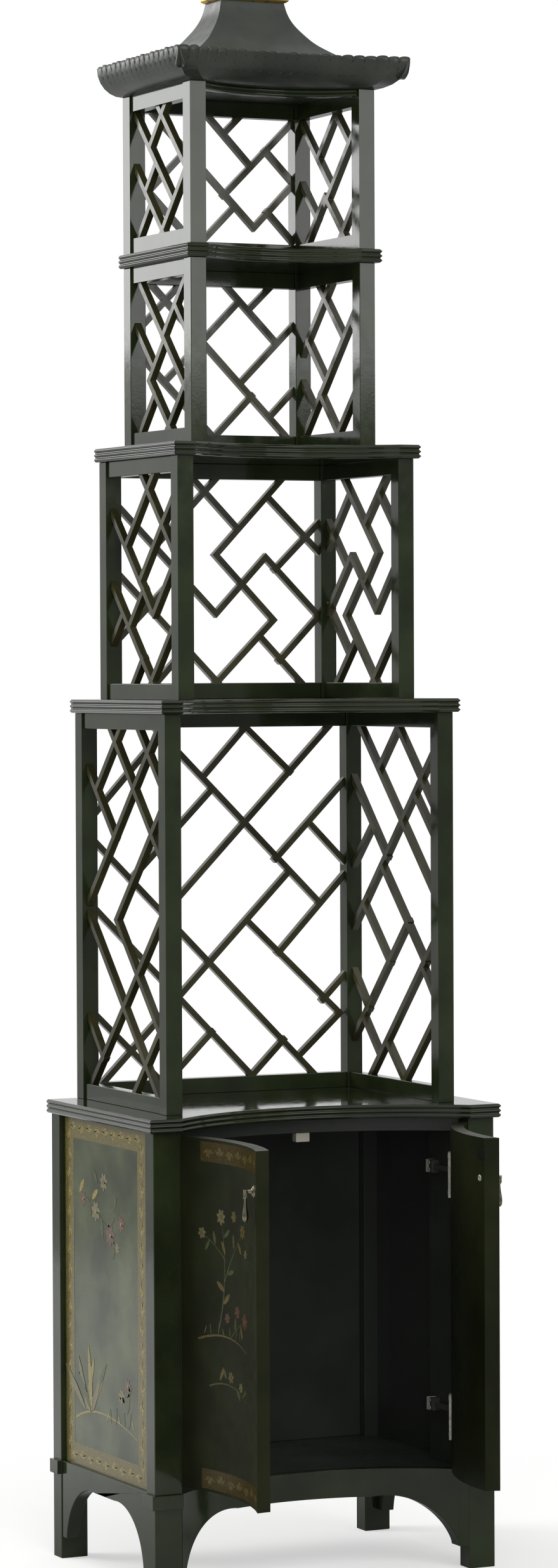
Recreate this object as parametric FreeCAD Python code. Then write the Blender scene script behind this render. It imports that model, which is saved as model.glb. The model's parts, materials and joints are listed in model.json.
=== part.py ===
import FreeCAD, Part
import math
import os

os.makedirs("parts", exist_ok=True)
Vector = FreeCAD.Vector

# A lacquered pagoda etagere: a cabinet with a hollow front and two doors, four open tiers
# with fretwork backs and sides, and a gilt-capped roof. Millimetres, X right, Y back, Z up.

# Cabinet carcass
cabinet_width = 542.0
cabinet_depth = 372.0
cabinet_post_width = 42.0
cabinet_post_depth = 30.0
waist_height = 145.0
cabinet_top_underside = 657.0
front_hollow = 88.0

# Aprons and feet
apron_thickness = 20.0
side_apron_setback = 1.5
bracket_end_height = 32.0
front_apron_rail = 41.0
front_arch_foot = 6.0
front_arch_shoulder = 108.0
back_apron_rail = 28.0
side_apron_rail = 30.0
side_arch_foot = 11.0
side_arch_shoulder = 103.0
arch_spring_height = 38.0
arch_foot_taper = 6.0
collar_height = 20.0
collar_projection = 6.0

# Panels, floor and inner rails
side_panel_setback = 8.0
side_panel_thickness = 12.0
back_panel_setback = 6.0
back_panel_thickness = 8.0
floor_thickness = 12.0
frieze_height = 21.0
frieze_thickness = 20.0
hinge_batten_depth = 95.0

# Doors
door_thickness = 19.0
door_post_gap = 0.6
door_top_gap = 5.0
door_foot_gap = 10.0
door_meeting_gap = 2.0
door_stop_gap = 4.0
meeting_bevel_deg = 27.0
left_door_open_deg = 110.3
right_door_open_deg = 94.0

# Concealed hinges
hinge_from_door_end = 73.0
cup_radius = 17.5
cup_depth = 11.0
cup_wall = 1.0
cup_from_edge = 23.0
flange_height = 66.0
flange_width = 16.0
flange_thickness = 4.0
block_height = 19.0
block_width = 20.0
block_thickness = 12.0
block_from_post = 62.0
arm_height = 7.0
arm_thickness = 7.0
arm_setback = 3.0
arm_length = 50.0

# Magnetic catch and its strike, for the right door
catch_from_middle = 4.0
catch_width = 22.0
catch_depth = 13.0
catch_height = 13.0
strike_width = 14.0
strike_thickness = 1.2
strike_from_edge = 1.0
strike_gap = 0.6

# Pear-drop pulls
pull_from_edge = 22.0
pull_below_door_top = 57.5
rosette_radius = 9.0
rosette_thickness = 3.0
rosette_edge = 1.2
spigot_radius = 2.5
spigot_length = 13.0
pull_neck_radius = 3.2
pull_neck_setback = 4.8
eye_standoff = 12.0
eye_thickness = 3.0
eye_radius = 2.8
pin_radius = 1.2
pin_clearance = 0.05
fork_clearance = 0.2
fork_cheek = 1.8
fork_depth = 5.0
fork_drop = 8.0
fork_slot_depth = 4.8
stem_radius = 1.8
drop_length = 42.0
drop_radius = 4.4
pear_shares = [(0.15, 0.0), (0.66, 0.06), (1.0, 0.26), (0.70, 0.52)]

# Boards with beaded edges, on the cabinet and between the tiers
board_thickness = 20.0
board_overhang = 9.0
bead_count = 3
bead_depth = 3.0

# Open tiers, from the lowest up
tier_widths = [460.0, 378.0, 296.0, 296.0]
tier_depths = [327.0, 284.0, 242.0, 242.0]
tier_heights = [570.0, 350.0, 267.0, 233.0]
tier_post = 25.0
tier_hollow_share = 0.38
rail_height = 23.0
rail_thickness = 18.0
rail_setback = 3.0

# Fretwork bars
bar_width = 9.0
bar_depth = 10.0

# Roof
eave_rise = 42.0
eave_side_reach = 37.0
eave_front_reach = 44.0
eave_back_reach = 10.0
eave_steps = 6
eave_top_hollow = 25.0
eave_pocket_inset = 14.0
eave_rim_width = 12.0
eave_rim_depth = 14.0
ceiling_thickness = 12.0
neck_width = 102.0
neck_depth = 55.0
neck_centre_from_back = 112.0
roof_height = 105.0
roof_run_shares = [1.0, 0.80, 0.60, 0.42, 0.29, 0.19, 0.09, 0.03, 0.0]
roof_rise_shares = [0.0, 0.06, 0.16, 0.30, 0.41, 0.54, 0.69, 0.84, 1.0]
cap_overhang = 6.0
cap_edge_height = 12.0
cap_dome_height = 12.0
cap_edge_shares = [(0.3, 0.0), (1.0, 0.25), (1.0, 0.70), (0.5, 1.0)]
cap_top_width = 46.0
cap_top_depth = 30.0
finial_foot_radius = 13.0
finial_height = 64.0
finial_shares = [(1.00, 0.00), (1.00, 0.08), (0.40, 0.16), (0.40, 0.30), (1.10, 0.50), (0.85, 0.68),
                 (0.25, 0.84), (0.08, 1.00)]

# Turned pieces have flats, as many as this
turned_sides = 20
# One overrun serves every cut
overrun = 5.0
# How far along and up a round quarter's middle lies
quarter_share = math.sqrt(0.5)

# Fret bars as shares of the clear opening: column and row of one end, then of the other.
# On a back panel the columns run from left to right, on a side panel from back to front.
back_fret_shares = [
    [(0.24, 1.00, 0.90, 0.49), (0.60, 1.00, 0.78, 0.87), (0.86, 0.72, 1.00, 0.61),
     (0.61, 0.44, 0.98, 0.17), (0.00, 0.68, 0.87, 0.00), (0.00, 0.49, 0.62, 0.00),
     (0.43, 0.86, 0.60, 1.00), (0.27, 0.47, 0.94, 1.00), (0.14, 0.57, 0.46, 0.82),
     (0.72, 0.62, 1.00, 0.84), (0.03, 0.00, 0.77, 0.58), (0.73, 0.35, 1.00, 0.57),
     (0.81, 0.05, 0.98, 0.17), (0.91, 0.21, 1.00, 0.28), (0.62, 0.00, 0.75, 0.10),
     (0.29, 0.00, 0.46, 0.13), (0.00, 0.76, 0.26, 0.98), (0.00, 0.19, 0.25, 0.00)],
    [(0.37, 1.00, 0.59, 0.76), (0.74, 0.92, 1.00, 0.65), (0.48, 0.63, 0.77, 0.31),
     (0.73, 0.62, 1.00, 0.33), (0.00, 0.86, 0.48, 0.34), (0.70, 0.23, 0.91, 0.00),
     (0.00, 0.53, 0.49, 0.00), (0.48, 0.63, 0.81, 1.00), (0.18, 0.67, 0.48, 1.00),
     (0.78, 0.56, 1.00, 0.79), (0.48, 0.34, 0.73, 0.62), (0.48, 0.00, 0.77, 0.31),
     (0.80, 0.11, 1.00, 0.33), (0.00, 0.22, 0.30, 0.54), (0.18, 0.00, 0.33, 0.17)],
    [(0.56, 1.00, 0.89, 0.63), (0.06, 1.00, 0.95, 0.00), (0.14, 0.35, 0.64, 0.91),
     (0.70, 0.85, 0.84, 1.00), (0.64, 0.35, 1.00, 0.75), (0.48, 0.00, 0.72, 0.27),
     (0.84, 0.13, 1.00, 0.31), (0.00, 0.51, 0.45, 0.00), (0.00, 0.73, 0.24, 1.00)],
    [(0.44, 1.00, 0.72, 0.62), (0.08, 1.00, 0.74, 0.13), (0.82, 0.75, 1.00, 0.51),
     (0.83, 0.26, 1.00, 0.03), (0.54, 0.38, 1.00, 0.98), (0.54, 0.87, 0.64, 1.00),
     (0.74, 0.13, 1.00, 0.48), (0.39, 0.00, 0.61, 0.29), (0.00, 0.33, 0.29, 0.72),
     (0.00, 0.44, 0.33, 0.00)],
]
right_fret_shares = [
    [(0.09, 1.00, 1.00, 0.52), (0.55, 1.00, 1.00, 0.76), (0.00, 0.85, 0.41, 0.63),
     (0.36, 0.60, 0.86, 0.34), (0.13, 0.49, 0.44, 0.33), (0.00, 0.29, 0.18, 0.19),
     (0.13, 0.16, 0.32, 0.06), (0.41, 0.10, 0.61, 0.00), (0.75, 0.81, 1.00, 0.68),
     (0.83, 0.33, 1.00, 0.23), (0.32, 0.88, 0.55, 1.00), (0.00, 0.42, 1.00, 0.95),
     (0.00, 0.60, 0.24, 0.72), (0.00, 0.10, 0.66, 0.45), (0.21, 0.00, 1.00, 0.42),
     (0.62, 0.00, 1.00, 0.20)],
    [(0.24, 1.00, 0.72, 0.63), (0.00, 0.79, 0.28, 0.57), (0.35, 0.62, 0.70, 0.35),
     (0.26, 0.33, 0.69, 0.00), (0.00, 0.38, 0.31, 0.14), (0.00, 0.67, 0.33, 0.93),
     (0.54, 0.77, 0.85, 1.00), (0.53, 0.48, 0.72, 0.63), (0.00, 0.35, 0.35, 0.62),
     (0.26, 0.33, 0.50, 0.51), (0.70, 0.35, 1.00, 0.59), (0.13, 0.00, 0.41, 0.21),
     (0.64, 0.00, 1.00, 0.28), (0.74, 0.92, 1.00, 0.72)],
    [(0.31, 1.00, 0.74, 0.63), (0.10, 0.64, 0.43, 0.35), (0.33, 0.27, 0.63, 0.00),
     (0.00, 0.56, 0.51, 1.00), (0.03, 0.00, 1.00, 0.85), (0.64, 0.00, 1.00, 0.31),
     (0.88, 0.74, 1.00, 0.63), (0.00, 0.36, 0.22, 0.17)],
    [(0.30, 0.66, 0.63, 1.00), (0.43, 0.29, 1.00, 0.88), (0.00, 0.97, 0.54, 0.41),
     (0.60, 1.00, 0.86, 0.73), (0.46, 0.32, 0.77, 0.00), (0.00, 0.48, 0.28, 0.19),
     (0.09, 0.00, 0.43, 0.35), (0.69, 0.00, 1.00, 0.32)],
]
left_fret_shares = [
    [(0.00, 0.89, 0.36, 0.70), (0.31, 1.00, 1.00, 0.63), (0.00, 0.48, 0.91, 0.00),
     (0.38, 0.47, 1.00, 0.14), (0.00, 0.19, 0.20, 0.08), (0.00, 0.51, 0.92, 1.00),
     (0.38, 0.47, 1.00, 0.80), (0.04, 0.00, 1.00, 0.51), (0.12, 0.83, 0.44, 1.00),
     (0.61, 0.00, 1.00, 0.21), (0.68, 1.00, 1.00, 0.83)],
    [(0.00, 0.83, 0.65, 0.33), (0.00, 0.48, 0.63, 0.00), (0.22, 0.66, 0.66, 1.00),
     (0.47, 1.00, 1.00, 0.59), (0.44, 0.49, 1.00, 0.92), (0.27, 0.27, 0.50, 0.45),
     (0.60, 0.00, 1.00, 0.31), (0.33, 0.00, 0.48, 0.12), (0.65, 0.33, 1.00, 0.60),
     (0.00, 0.20, 0.18, 0.34)],
    [(0.08, 1.00, 1.00, 0.20), (0.00, 0.71, 0.34, 0.42), (0.25, 0.34, 0.65, 0.00),
     (0.51, 0.62, 0.95, 1.00), (0.25, 0.34, 0.54, 0.60), (0.58, 0.00, 1.00, 0.36),
     (0.08, 0.00, 0.36, 0.25), (0.74, 0.82, 1.00, 0.59)],
    [(0.00, 0.98, 0.72, 0.24), (0.44, 1.00, 1.00, 0.43), (0.28, 0.69, 0.58, 1.00),
     (0.20, 0.35, 0.40, 0.56), (0.00, 0.56, 0.54, 0.00), (0.49, 0.00, 1.00, 0.52),
     (0.06, 0.00, 0.30, 0.25)],
]

# Places that several pieces share
half_width = cabinet_width / 2
hollow_half = half_width - cabinet_post_width
post_inner_y = cabinet_post_depth - cabinet_depth
hollow_radius = (hollow_half ** 2 + front_hollow ** 2) / (2 * front_hollow)
hollow_centre_y = front_hollow - cabinet_depth - hollow_radius
side_panel_inner = half_width - side_panel_setback - side_panel_thickness
door_inner_radius = hollow_radius + door_thickness
frieze_radius = door_inner_radius + door_stop_gap
frieze_underside = cabinet_top_underside - frieze_height
door_bottom = waist_height + door_foot_gap
door_top = cabinet_top_underside - door_top_gap
batten_back_y = post_inner_y + hinge_batten_depth

nodes = {}


def box(low_x, high_x, low_y, high_y, low_z, high_z):
    corner = Vector(low_x, low_y, low_z)
    return Part.makeBox(high_x - low_x, high_y - low_y, high_z - low_z, corner)


def mirrored(shape):
    return shape.mirror(Vector(0, 0, 0), Vector(1, 0, 0))


def upright_cylinder(radius, low_z, high_z):
    base = Vector(0, hollow_centre_y, low_z)
    return Part.makeCylinder(radius, high_z - low_z, base, Vector(0, 0, 1))


def ringed_solid(rings):
    # Flat faces between rings of as many corners, closed at both ends
    faces = [Part.Face(Part.makePolygon(ring + ring[:1])) for ring in (rings[0], rings[-1])]
    for low, high in zip(rings, rings[1:]):
        for here in range(len(low)):
            after = (here + 1) % len(low)
            corners = [low[here], low[after], high[after], high[here], low[here]]
            faces.append(Part.Face(Part.makePolygon(corners)))
    shell = Part.Shell(faces)
    shell.sewShape()
    return Part.Solid(shell)


def turned(profile):
    # A turned piece that stands on its axis, from pairs of radius and level
    turns = [2 * math.pi * side / turned_sides for side in range(turned_sides)]
    rings = []
    for radius, level in profile:
        rings.append([Vector(radius * math.cos(turn), radius * math.sin(turn), level) for turn in turns])
    return ringed_solid(rings)


def hollow_ring(inner_radius, thickness, half_length, low_z, high_z):
    # A board bent to the hollow front, cut square at both ends
    bent = upright_cylinder(inner_radius + thickness, low_z, high_z)
    bent = bent.cut(upright_cylinder(inner_radius, low_z, high_z))
    back_y = hollow_centre_y + inner_radius + thickness
    return bent.common(box(-half_length, half_length, hollow_centre_y, back_y, low_z, high_z))


# Corner posts, which run down as the legs
def cabinet_post(side, low_y):
    inner_x = hollow_half if side > 0 else -half_width
    return box(inner_x, inner_x + cabinet_post_width, low_y, low_y + cabinet_post_depth,
               0, cabinet_top_underside)


for side, side_name in ((-1, "left"), (1, "right")):
    nodes["front_" + side_name + "_post"] = cabinet_post(side, -cabinet_depth)
    nodes["back_" + side_name + "_post"] = cabinet_post(side, -cabinet_post_depth)


# Collars on the posts at the waist
def front_collar():
    wrap = box(hollow_half, half_width + collar_projection, -cabinet_depth - collar_projection,
               post_inner_y, waist_height - collar_height, waist_height)
    return wrap.cut(cabinet_post(1, -cabinet_depth))


def back_collar():
    return box(half_width, half_width + collar_projection, -cabinet_post_depth, 0,
               waist_height - collar_height, waist_height)


collars = []
for collar in (front_collar(), back_collar()):
    collars.append(collar)
    collars.append(mirrored(collar))
nodes["waist_collars"] = Part.makeCompound(collars)


# Arched aprons: the opening is drawn across the piece and cut right through, and the
# brackets it leaves end square above the floor. The back has a plain rail.
def arch_opening(half_span, shoulder, rail):
    # Drawn in X and Z about the middle, with a round shoulder on each side
    crown_height = waist_height - rail
    spring_x = half_span - arch_foot_taper
    flat_x = spring_x - shoulder
    mid_x = flat_x + quarter_share * shoulder
    mid_z = arch_spring_height + quarter_share * (crown_height - arch_spring_height)
    edges = []
    for side in (-1, 1):
        foot = Vector(side * half_span, 0, -overrun)
        spring = Vector(side * spring_x, 0, arch_spring_height)
        crown = Vector(side * flat_x, 0, crown_height)
        edges.append(Part.makeLine(foot, spring))
        edges.append(Part.Arc(spring, Vector(side * mid_x, 0, mid_z), crown).toShape())
    edges.append(Part.makeLine(Vector(-flat_x, 0, crown_height), Vector(flat_x, 0, crown_height)))
    edges.append(Part.makeLine(Vector(-half_span, 0, -overrun), Vector(half_span, 0, -overrun)))
    return Part.Face(Part.Wire(Part.__sortEdges__(edges)))


front_board = hollow_ring(hollow_radius, apron_thickness, hollow_half,
                          bracket_end_height, waist_height)
front_arch = arch_opening(hollow_half - front_arch_foot, front_arch_shoulder, front_apron_rail)
front_arch.translate(Vector(0, -cabinet_depth - overrun, 0))
front_cut = front_arch.extrude(Vector(0, cabinet_depth + 2 * overrun, 0))
nodes["front_apron"] = front_board.cut(front_cut)
nodes["back_apron"] = box(-hollow_half, hollow_half, -apron_thickness, 0,
                          waist_height - back_apron_rail, waist_height)

side_outer = half_width - side_apron_setback
side_middle_y = -cabinet_depth / 2
side_span_half = cabinet_depth / 2 - cabinet_post_depth
side_board = box(side_outer - apron_thickness, side_outer, post_inner_y, -cabinet_post_depth,
                 bracket_end_height, waist_height)
side_arch = arch_opening(side_span_half - side_arch_foot, side_arch_shoulder, side_apron_rail)
side_arch.rotate(Vector(0, 0, 0), Vector(0, 0, 1), 90)
side_arch.translate(Vector(0, side_middle_y, 0))
right_apron = side_board.cut(side_arch.extrude(Vector(cabinet_width, 0, 0)))
nodes["right_apron"] = right_apron
nodes["left_apron"] = mirrored(right_apron)

# Floor, side panels, back and the packing strips that carry the hinges
floor = box(-side_panel_inner, side_panel_inner, -cabinet_depth, -apron_thickness,
            waist_height - floor_thickness, waist_height)
floor = floor.cut(upright_cylinder(hollow_radius + apron_thickness, 0, cabinet_top_underside))
for side in (-1, 1):
    floor = floor.cut(cabinet_post(side, -cabinet_depth))
    floor = floor.cut(cabinet_post(side, -cabinet_post_depth))
side_apron_inner = side_outer - apron_thickness
for side in (-1, 1):
    outer_x = side * side_apron_inner
    far_x = side * half_width
    floor = floor.cut(box(min(outer_x, far_x), max(outer_x, far_x), post_inner_y,
                          -cabinet_post_depth, 0, waist_height))
nodes["cabinet_floor"] = floor

right_panel = box(side_panel_inner, side_panel_inner + side_panel_thickness, post_inner_y,
                  -cabinet_post_depth, waist_height, cabinet_top_underside)
nodes["right_side_panel"] = right_panel
nodes["left_side_panel"] = mirrored(right_panel)
nodes["back_panel"] = box(-hollow_half, hollow_half, -back_panel_setback - back_panel_thickness,
                          -back_panel_setback, waist_height, cabinet_top_underside)
right_batten = box(hollow_half, side_panel_inner, post_inner_y, batten_back_y,
                   waist_height, cabinet_top_underside)
nodes["right_hinge_batten"] = right_batten
nodes["left_hinge_batten"] = mirrored(right_batten)
nodes["frieze_rail"] = hollow_ring(frieze_radius, frieze_thickness, hollow_half,
                                   frieze_underside, cabinet_top_underside)


# Boards: a straight back, square ends and a hollow front, with beads run round the open edges
def board_outline(width, depth, flat, hollow, back_y):
    half = width / 2
    front_y = -depth
    inner = half - flat
    corners = [Vector(half, back_y, 0), Vector(half, front_y, 0), Vector(inner, front_y, 0)]
    far_corners = [Vector(-inner, front_y, 0), Vector(-half, front_y, 0), Vector(-half, back_y, 0)]
    arc = Part.Arc(corners[2], Vector(0, front_y + hollow, 0), far_corners[0]).toShape()
    edges = [Part.makeLine(corners[0], corners[1]), Part.makeLine(corners[1], corners[2]), arc,
             Part.makeLine(far_corners[0], far_corners[1]),
             Part.makeLine(far_corners[1], far_corners[2]),
             Part.makeLine(far_corners[2], corners[0])]
    return Part.Wire(edges)


def beaded_board(width, depth, post_size, hollow, low_z):
    level_step = board_thickness / (2 * bead_count)
    sections = []
    for level in range(2 * bead_count + 1):
        inset = 0 if level % 2 else bead_depth
        reach = board_overhang - inset
        outline = board_outline(width + 2 * reach, depth + reach, post_size + reach, hollow, 0)
        outline.translate(Vector(0, 0, low_z + level * level_step))
        sections.append(outline)
    return Part.makeLoft(sections, True, True)


nodes["cabinet_top"] = beaded_board(cabinet_width, cabinet_depth, cabinet_post_width,
                                    front_hollow, cabinet_top_underside)


# Fretwork: square bars lapped in one plane and trimmed to the clear opening
def fret(width, height, bars):
    pieces = []
    for column_a, row_a, column_b, row_b in bars:
        start = Vector(column_a * width, 0, row_a * height)
        end = Vector(column_b * width, 0, row_b * height)
        along = end.sub(start).normalize()
        across = Vector(-along.z, 0, along.x) * (bar_width / 2)
        run = along * bar_width
        start_run = run if {column_a, row_a} & {0.0, 1.0} else run * 0.5
        end_run = run if {column_b, row_b} & {0.0, 1.0} else run * 0.5
        start = start.sub(start_run)
        end = end.add(end_run)
        corners = [start.add(across), end.add(across), end.sub(across), start.sub(across)]
        corners.append(corners[0])
        face = Part.Face(Part.makePolygon(corners))
        face.translate(Vector(0, -bar_depth / 2, 0))
        pieces.append(face.extrude(Vector(0, bar_depth, 0)))
    lattice = pieces[0].multiFuse(pieces[1:]).removeSplitter()
    opening = box(0, width, -bar_depth, bar_depth, 0, height)
    return lattice.common(opening)


# One open tier: four posts, six rails, three frets, and the board above all but the top one
def tier(number, width, depth, height, base_z, frets):
    half = width / 2
    name = "tier_" + str(number)
    top_z = base_z + height
    posts = []
    for low_x in (-half, half - tier_post):
        for low_y in (-depth, -tier_post):
            posts.append(box(low_x, low_x + tier_post, low_y, low_y + tier_post, base_z, top_z))
    nodes[name + "_posts"] = Part.makeCompound(posts)
    inner_x = half - tier_post
    outer_x = half - rail_setback
    rails = []
    for low_z in (base_z, top_z - rail_height):
        high_z = low_z + rail_height
        rails.append(box(-inner_x, inner_x, -rail_setback - rail_thickness, -rail_setback,
                         low_z, high_z))
        right_rail = box(outer_x - rail_thickness, outer_x, tier_post - depth, -tier_post,
                         low_z, high_z)
        rails.append(right_rail)
        rails.append(mirrored(right_rail))
    nodes[name + "_rails"] = Part.makeCompound(rails)
    clear_height = height - 2 * rail_height
    back_shares, left_shares, right_shares = frets
    panel_in = rail_setback + rail_thickness / 2
    back = fret(width - 2 * tier_post, clear_height, back_shares)
    back.translate(Vector(-inner_x, -panel_in, base_z + rail_height))
    nodes[name + "_back_fret"] = back
    for side, side_name, shares in ((-1, "left", left_shares), (1, "right", right_shares)):
        panel = fret(depth - 2 * tier_post, clear_height, shares)
        panel.rotate(Vector(0, 0, 0), Vector(0, 0, 1), -90)
        panel.translate(Vector(side * (half - panel_in), -tier_post, base_z + rail_height))
        nodes[name + "_" + side_name + "_fret"] = panel


tier_base = cabinet_top_underside + board_thickness
tier_count = len(tier_widths)
for number in range(tier_count):
    width = tier_widths[number]
    depth = tier_depths[number]
    height = tier_heights[number]
    frets = (back_fret_shares[number], left_fret_shares[number], right_fret_shares[number])
    tier(number + 1, width, depth, height, tier_base, frets)
    tier_base = tier_base + height
    if number < tier_count - 1:
        hollow = tier_hollow_share * (width / 2 - tier_post)
        nodes["shelf_" + str(number + 1)] = beaded_board(width, depth, tier_post, hollow, tier_base)
        tier_base = tier_base + board_thickness

# Roof: an eave moulding that curls out and up, a ceiling inside it and a hipped hollow roof
roof_base = tier_base
top_width = tier_widths[-1]
top_depth = tier_depths[-1]
top_hollow = tier_hollow_share * (top_width / 2 - tier_post)


def eave_outline(reach_share, rise_share, inset, low_z):
    side_reach = reach_share * eave_side_reach - inset
    front_reach = reach_share * eave_front_reach - inset
    back_reach = reach_share * eave_back_reach - inset
    hollow = top_hollow + rise_share * (eave_top_hollow - top_hollow)
    outline = board_outline(top_width + 2 * side_reach, top_depth + front_reach,
                            tier_post, hollow, back_reach)
    outline.translate(Vector(0, 0, low_z))
    return outline


sections = []
for step in range(eave_steps + 1):
    angle = math.pi / 2 * step / eave_steps
    rise_share = 1 - math.cos(angle)
    sections.append(eave_outline(math.sin(angle), rise_share, 0, roof_base + rise_share * eave_rise))
eave = Part.makeLoft(sections, True, True)
pocket = Part.Face(eave_outline(0, 0, eave_pocket_inset, roof_base - overrun))
eave = eave.cut(pocket.extrude(Vector(0, 0, eave_rise + 2 * overrun)))
rim_floor = roof_base + eave_rise - eave_rim_depth
rabbet = Part.Face(eave_outline(1, 1, eave_rim_width, rim_floor))
eave = eave.cut(rabbet.extrude(Vector(0, 0, eave_rim_depth + overrun)))
nodes["eave_moulding"] = eave
ceiling = Part.Face(eave_outline(0, 0, eave_pocket_inset, roof_base))
nodes["ceiling_board"] = ceiling.extrude(Vector(0, 0, ceiling_thickness))

neck_front_y = -neck_centre_from_back - neck_depth / 2
neck_back_y = neck_depth / 2 - neck_centre_from_back
base_half = top_width / 2 + eave_side_reach - eave_rim_width
base_front_y = eave_top_hollow + eave_rim_width - top_depth - eave_front_reach
base_back_y = eave_back_reach - eave_rim_width
slopes = []
for run_share, rise_share in zip(roof_run_shares, roof_rise_shares):
    half = neck_width / 2 + run_share * (base_half - neck_width / 2)
    front_y = neck_front_y + run_share * (base_front_y - neck_front_y)
    back_y = neck_back_y + run_share * (base_back_y - neck_back_y)
    level = rim_floor + rise_share * roof_height
    slopes.append([Vector(half, back_y, level), Vector(half, front_y, level),
                   Vector(-half, front_y, level), Vector(-half, back_y, level)])
nodes["hipped_roof"] = ringed_solid(slopes)

# Gilt cap with a moulded edge and a low dome, and the turned finial on it
cap_base = rim_floor + roof_height
cap_top = cap_base + cap_edge_height + cap_dome_height


def cap_ring(half_x, half_y, level):
    front_y = -neck_centre_from_back - half_y
    back_y = half_y - neck_centre_from_back
    return [Vector(half_x, back_y, level), Vector(half_x, front_y, level),
            Vector(-half_x, front_y, level), Vector(-half_x, back_y, level)]


cap_rings = []
for reach_share, height_share in cap_edge_shares:
    reach = reach_share * cap_overhang
    cap_rings.append(cap_ring(neck_width / 2 + reach, neck_depth / 2 + reach,
                              cap_base + height_share * cap_edge_height))
cap_rings.append(cap_ring(cap_top_width / 2, cap_top_depth / 2, cap_top))
nodes["gilt_cap"] = ringed_solid(cap_rings)

finial_profile = []
for radius_share, height_share in finial_shares:
    finial_profile.append((radius_share * finial_foot_radius, height_share * finial_height))
finial = turned(finial_profile)
finial.translate(Vector(0, -neck_centre_from_back, cap_top))
nodes["finial"] = finial

# Doors, drawn shut on the right-hand side. Every door piece is then mirrored for the left
# and swung about the hinge line, which runs up the outer corner beside the post.
hinge_x = hollow_half - door_post_gap
free_x = door_meeting_gap / 2


def on_hollow(radius, x):
    return Vector(x, hollow_centre_y + math.sqrt(radius ** 2 - x ** 2), 0)


def hollow_arc(radius, x_a, x_b):
    return Part.Arc(on_hollow(radius, x_a), on_hollow(radius, (x_a + x_b) / 2),
                    on_hollow(radius, x_b)).toShape()


hinge_line = on_hollow(hollow_radius, hinge_x)
bevel_x = free_x + door_thickness * math.tan(math.radians(meeting_bevel_deg))
door_edges = [hollow_arc(hollow_radius, hinge_x, free_x),
              Part.makeLine(on_hollow(hollow_radius, free_x), on_hollow(door_inner_radius, bevel_x)),
              hollow_arc(door_inner_radius, bevel_x, hinge_x),
              Part.makeLine(on_hollow(door_inner_radius, hinge_x), hinge_line)]
door = Part.Face(Part.Wire(door_edges)).extrude(Vector(0, 0, door_top - door_bottom))
door.translate(Vector(0, 0, door_bottom))
hinge_levels = [door_bottom + hinge_from_door_end, door_top - hinge_from_door_end]


def turned_to(shape, angle, origin):
    # From a piece drawn at the origin facing +Y to its place on the bent door
    shape.rotate(Vector(0, 0, 0), Vector(0, 0, 1), -math.degrees(angle))
    shape.translate(origin)
    return shape


def place_on(radius, angle, level):
    return Vector(radius * math.sin(angle), hollow_centre_y + radius * math.cos(angle), level)


# Hinge cups: a pressed cup let into the door, with a cast flange across it on the inner face
cup_angle = math.asin(hinge_x / door_inner_radius) - cup_from_edge / door_inner_radius
cups = []
for level in hinge_levels:
    cup_place = place_on(door_inner_radius, cup_angle, level)
    recess = Part.makeCylinder(cup_radius, cup_depth + overrun, Vector(0, -cup_depth, 0),
                               Vector(0, 1, 0))
    door = door.cut(turned_to(recess, cup_angle, cup_place))
    cup = Part.makeCylinder(cup_radius, cup_depth, Vector(0, -cup_depth, 0), Vector(0, 1, 0))
    flange = box(-flange_width / 2, flange_width / 2, 0, flange_thickness,
                 -flange_height / 2, flange_height / 2)
    hollow_cup = Part.makeCylinder(cup_radius - cup_wall, cup_depth + overrun,
                                   Vector(0, cup_wall - cup_depth, 0), Vector(0, 1, 0))
    cups.append(turned_to(cup.cut(hollow_cup).fuse(flange), cup_angle, cup_place))

# Strike plate beside the meeting edge, at the catch's height
strike_level = frieze_underside - catch_height / 2
strike_angle = math.asin(bevel_x / door_inner_radius)
strike_angle = strike_angle + (strike_from_edge + strike_width / 2) / door_inner_radius
strike = box(-strike_width / 2, strike_width / 2, 0, strike_thickness,
             -catch_height / 2, catch_height / 2)
strike = turned_to(strike, strike_angle, place_on(door_inner_radius, strike_angle, strike_level))

# Pull: a rosette with a spigot through the door and a flat eye, and the pear drop on its pin
pull_level = door_top - pull_below_door_top
pull_angle = math.asin(free_x / hollow_radius) + pull_from_edge / hollow_radius
seat_rise = hollow_radius - math.sqrt(hollow_radius ** 2 - rosette_radius ** 2)
pull_place = place_on(hollow_radius - seat_rise, pull_angle, pull_level)
spigot = Part.makeCylinder(spigot_radius, spigot_length, Vector(0, 0, 0), Vector(0, 1, 0))
door = door.cut(turned_to(spigot.copy(), pull_angle, pull_place))
rosette = turned([(rosette_radius, 0), (rosette_radius, rosette_edge),
                  (pull_neck_radius, rosette_thickness),
                  (pull_neck_radius, eye_standoff - pull_neck_setback)])
rosette.rotate(Vector(0, 0, 0), Vector(1, 0, 0), 90)
eye = box(-eye_thickness / 2, eye_thickness / 2, -eye_standoff - eye_radius,
          pull_neck_setback - eye_standoff, -eye_radius, eye_radius)
pin_hole = Part.makeCylinder(pin_radius + pin_clearance, 2 * eye_thickness,
                             Vector(-eye_thickness, -eye_standoff, 0), Vector(1, 0, 0))
rosette = rosette.multiFuse([spigot, eye]).removeSplitter().cut(pin_hole)
rosette = turned_to(rosette, pull_angle, pull_place)

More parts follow.
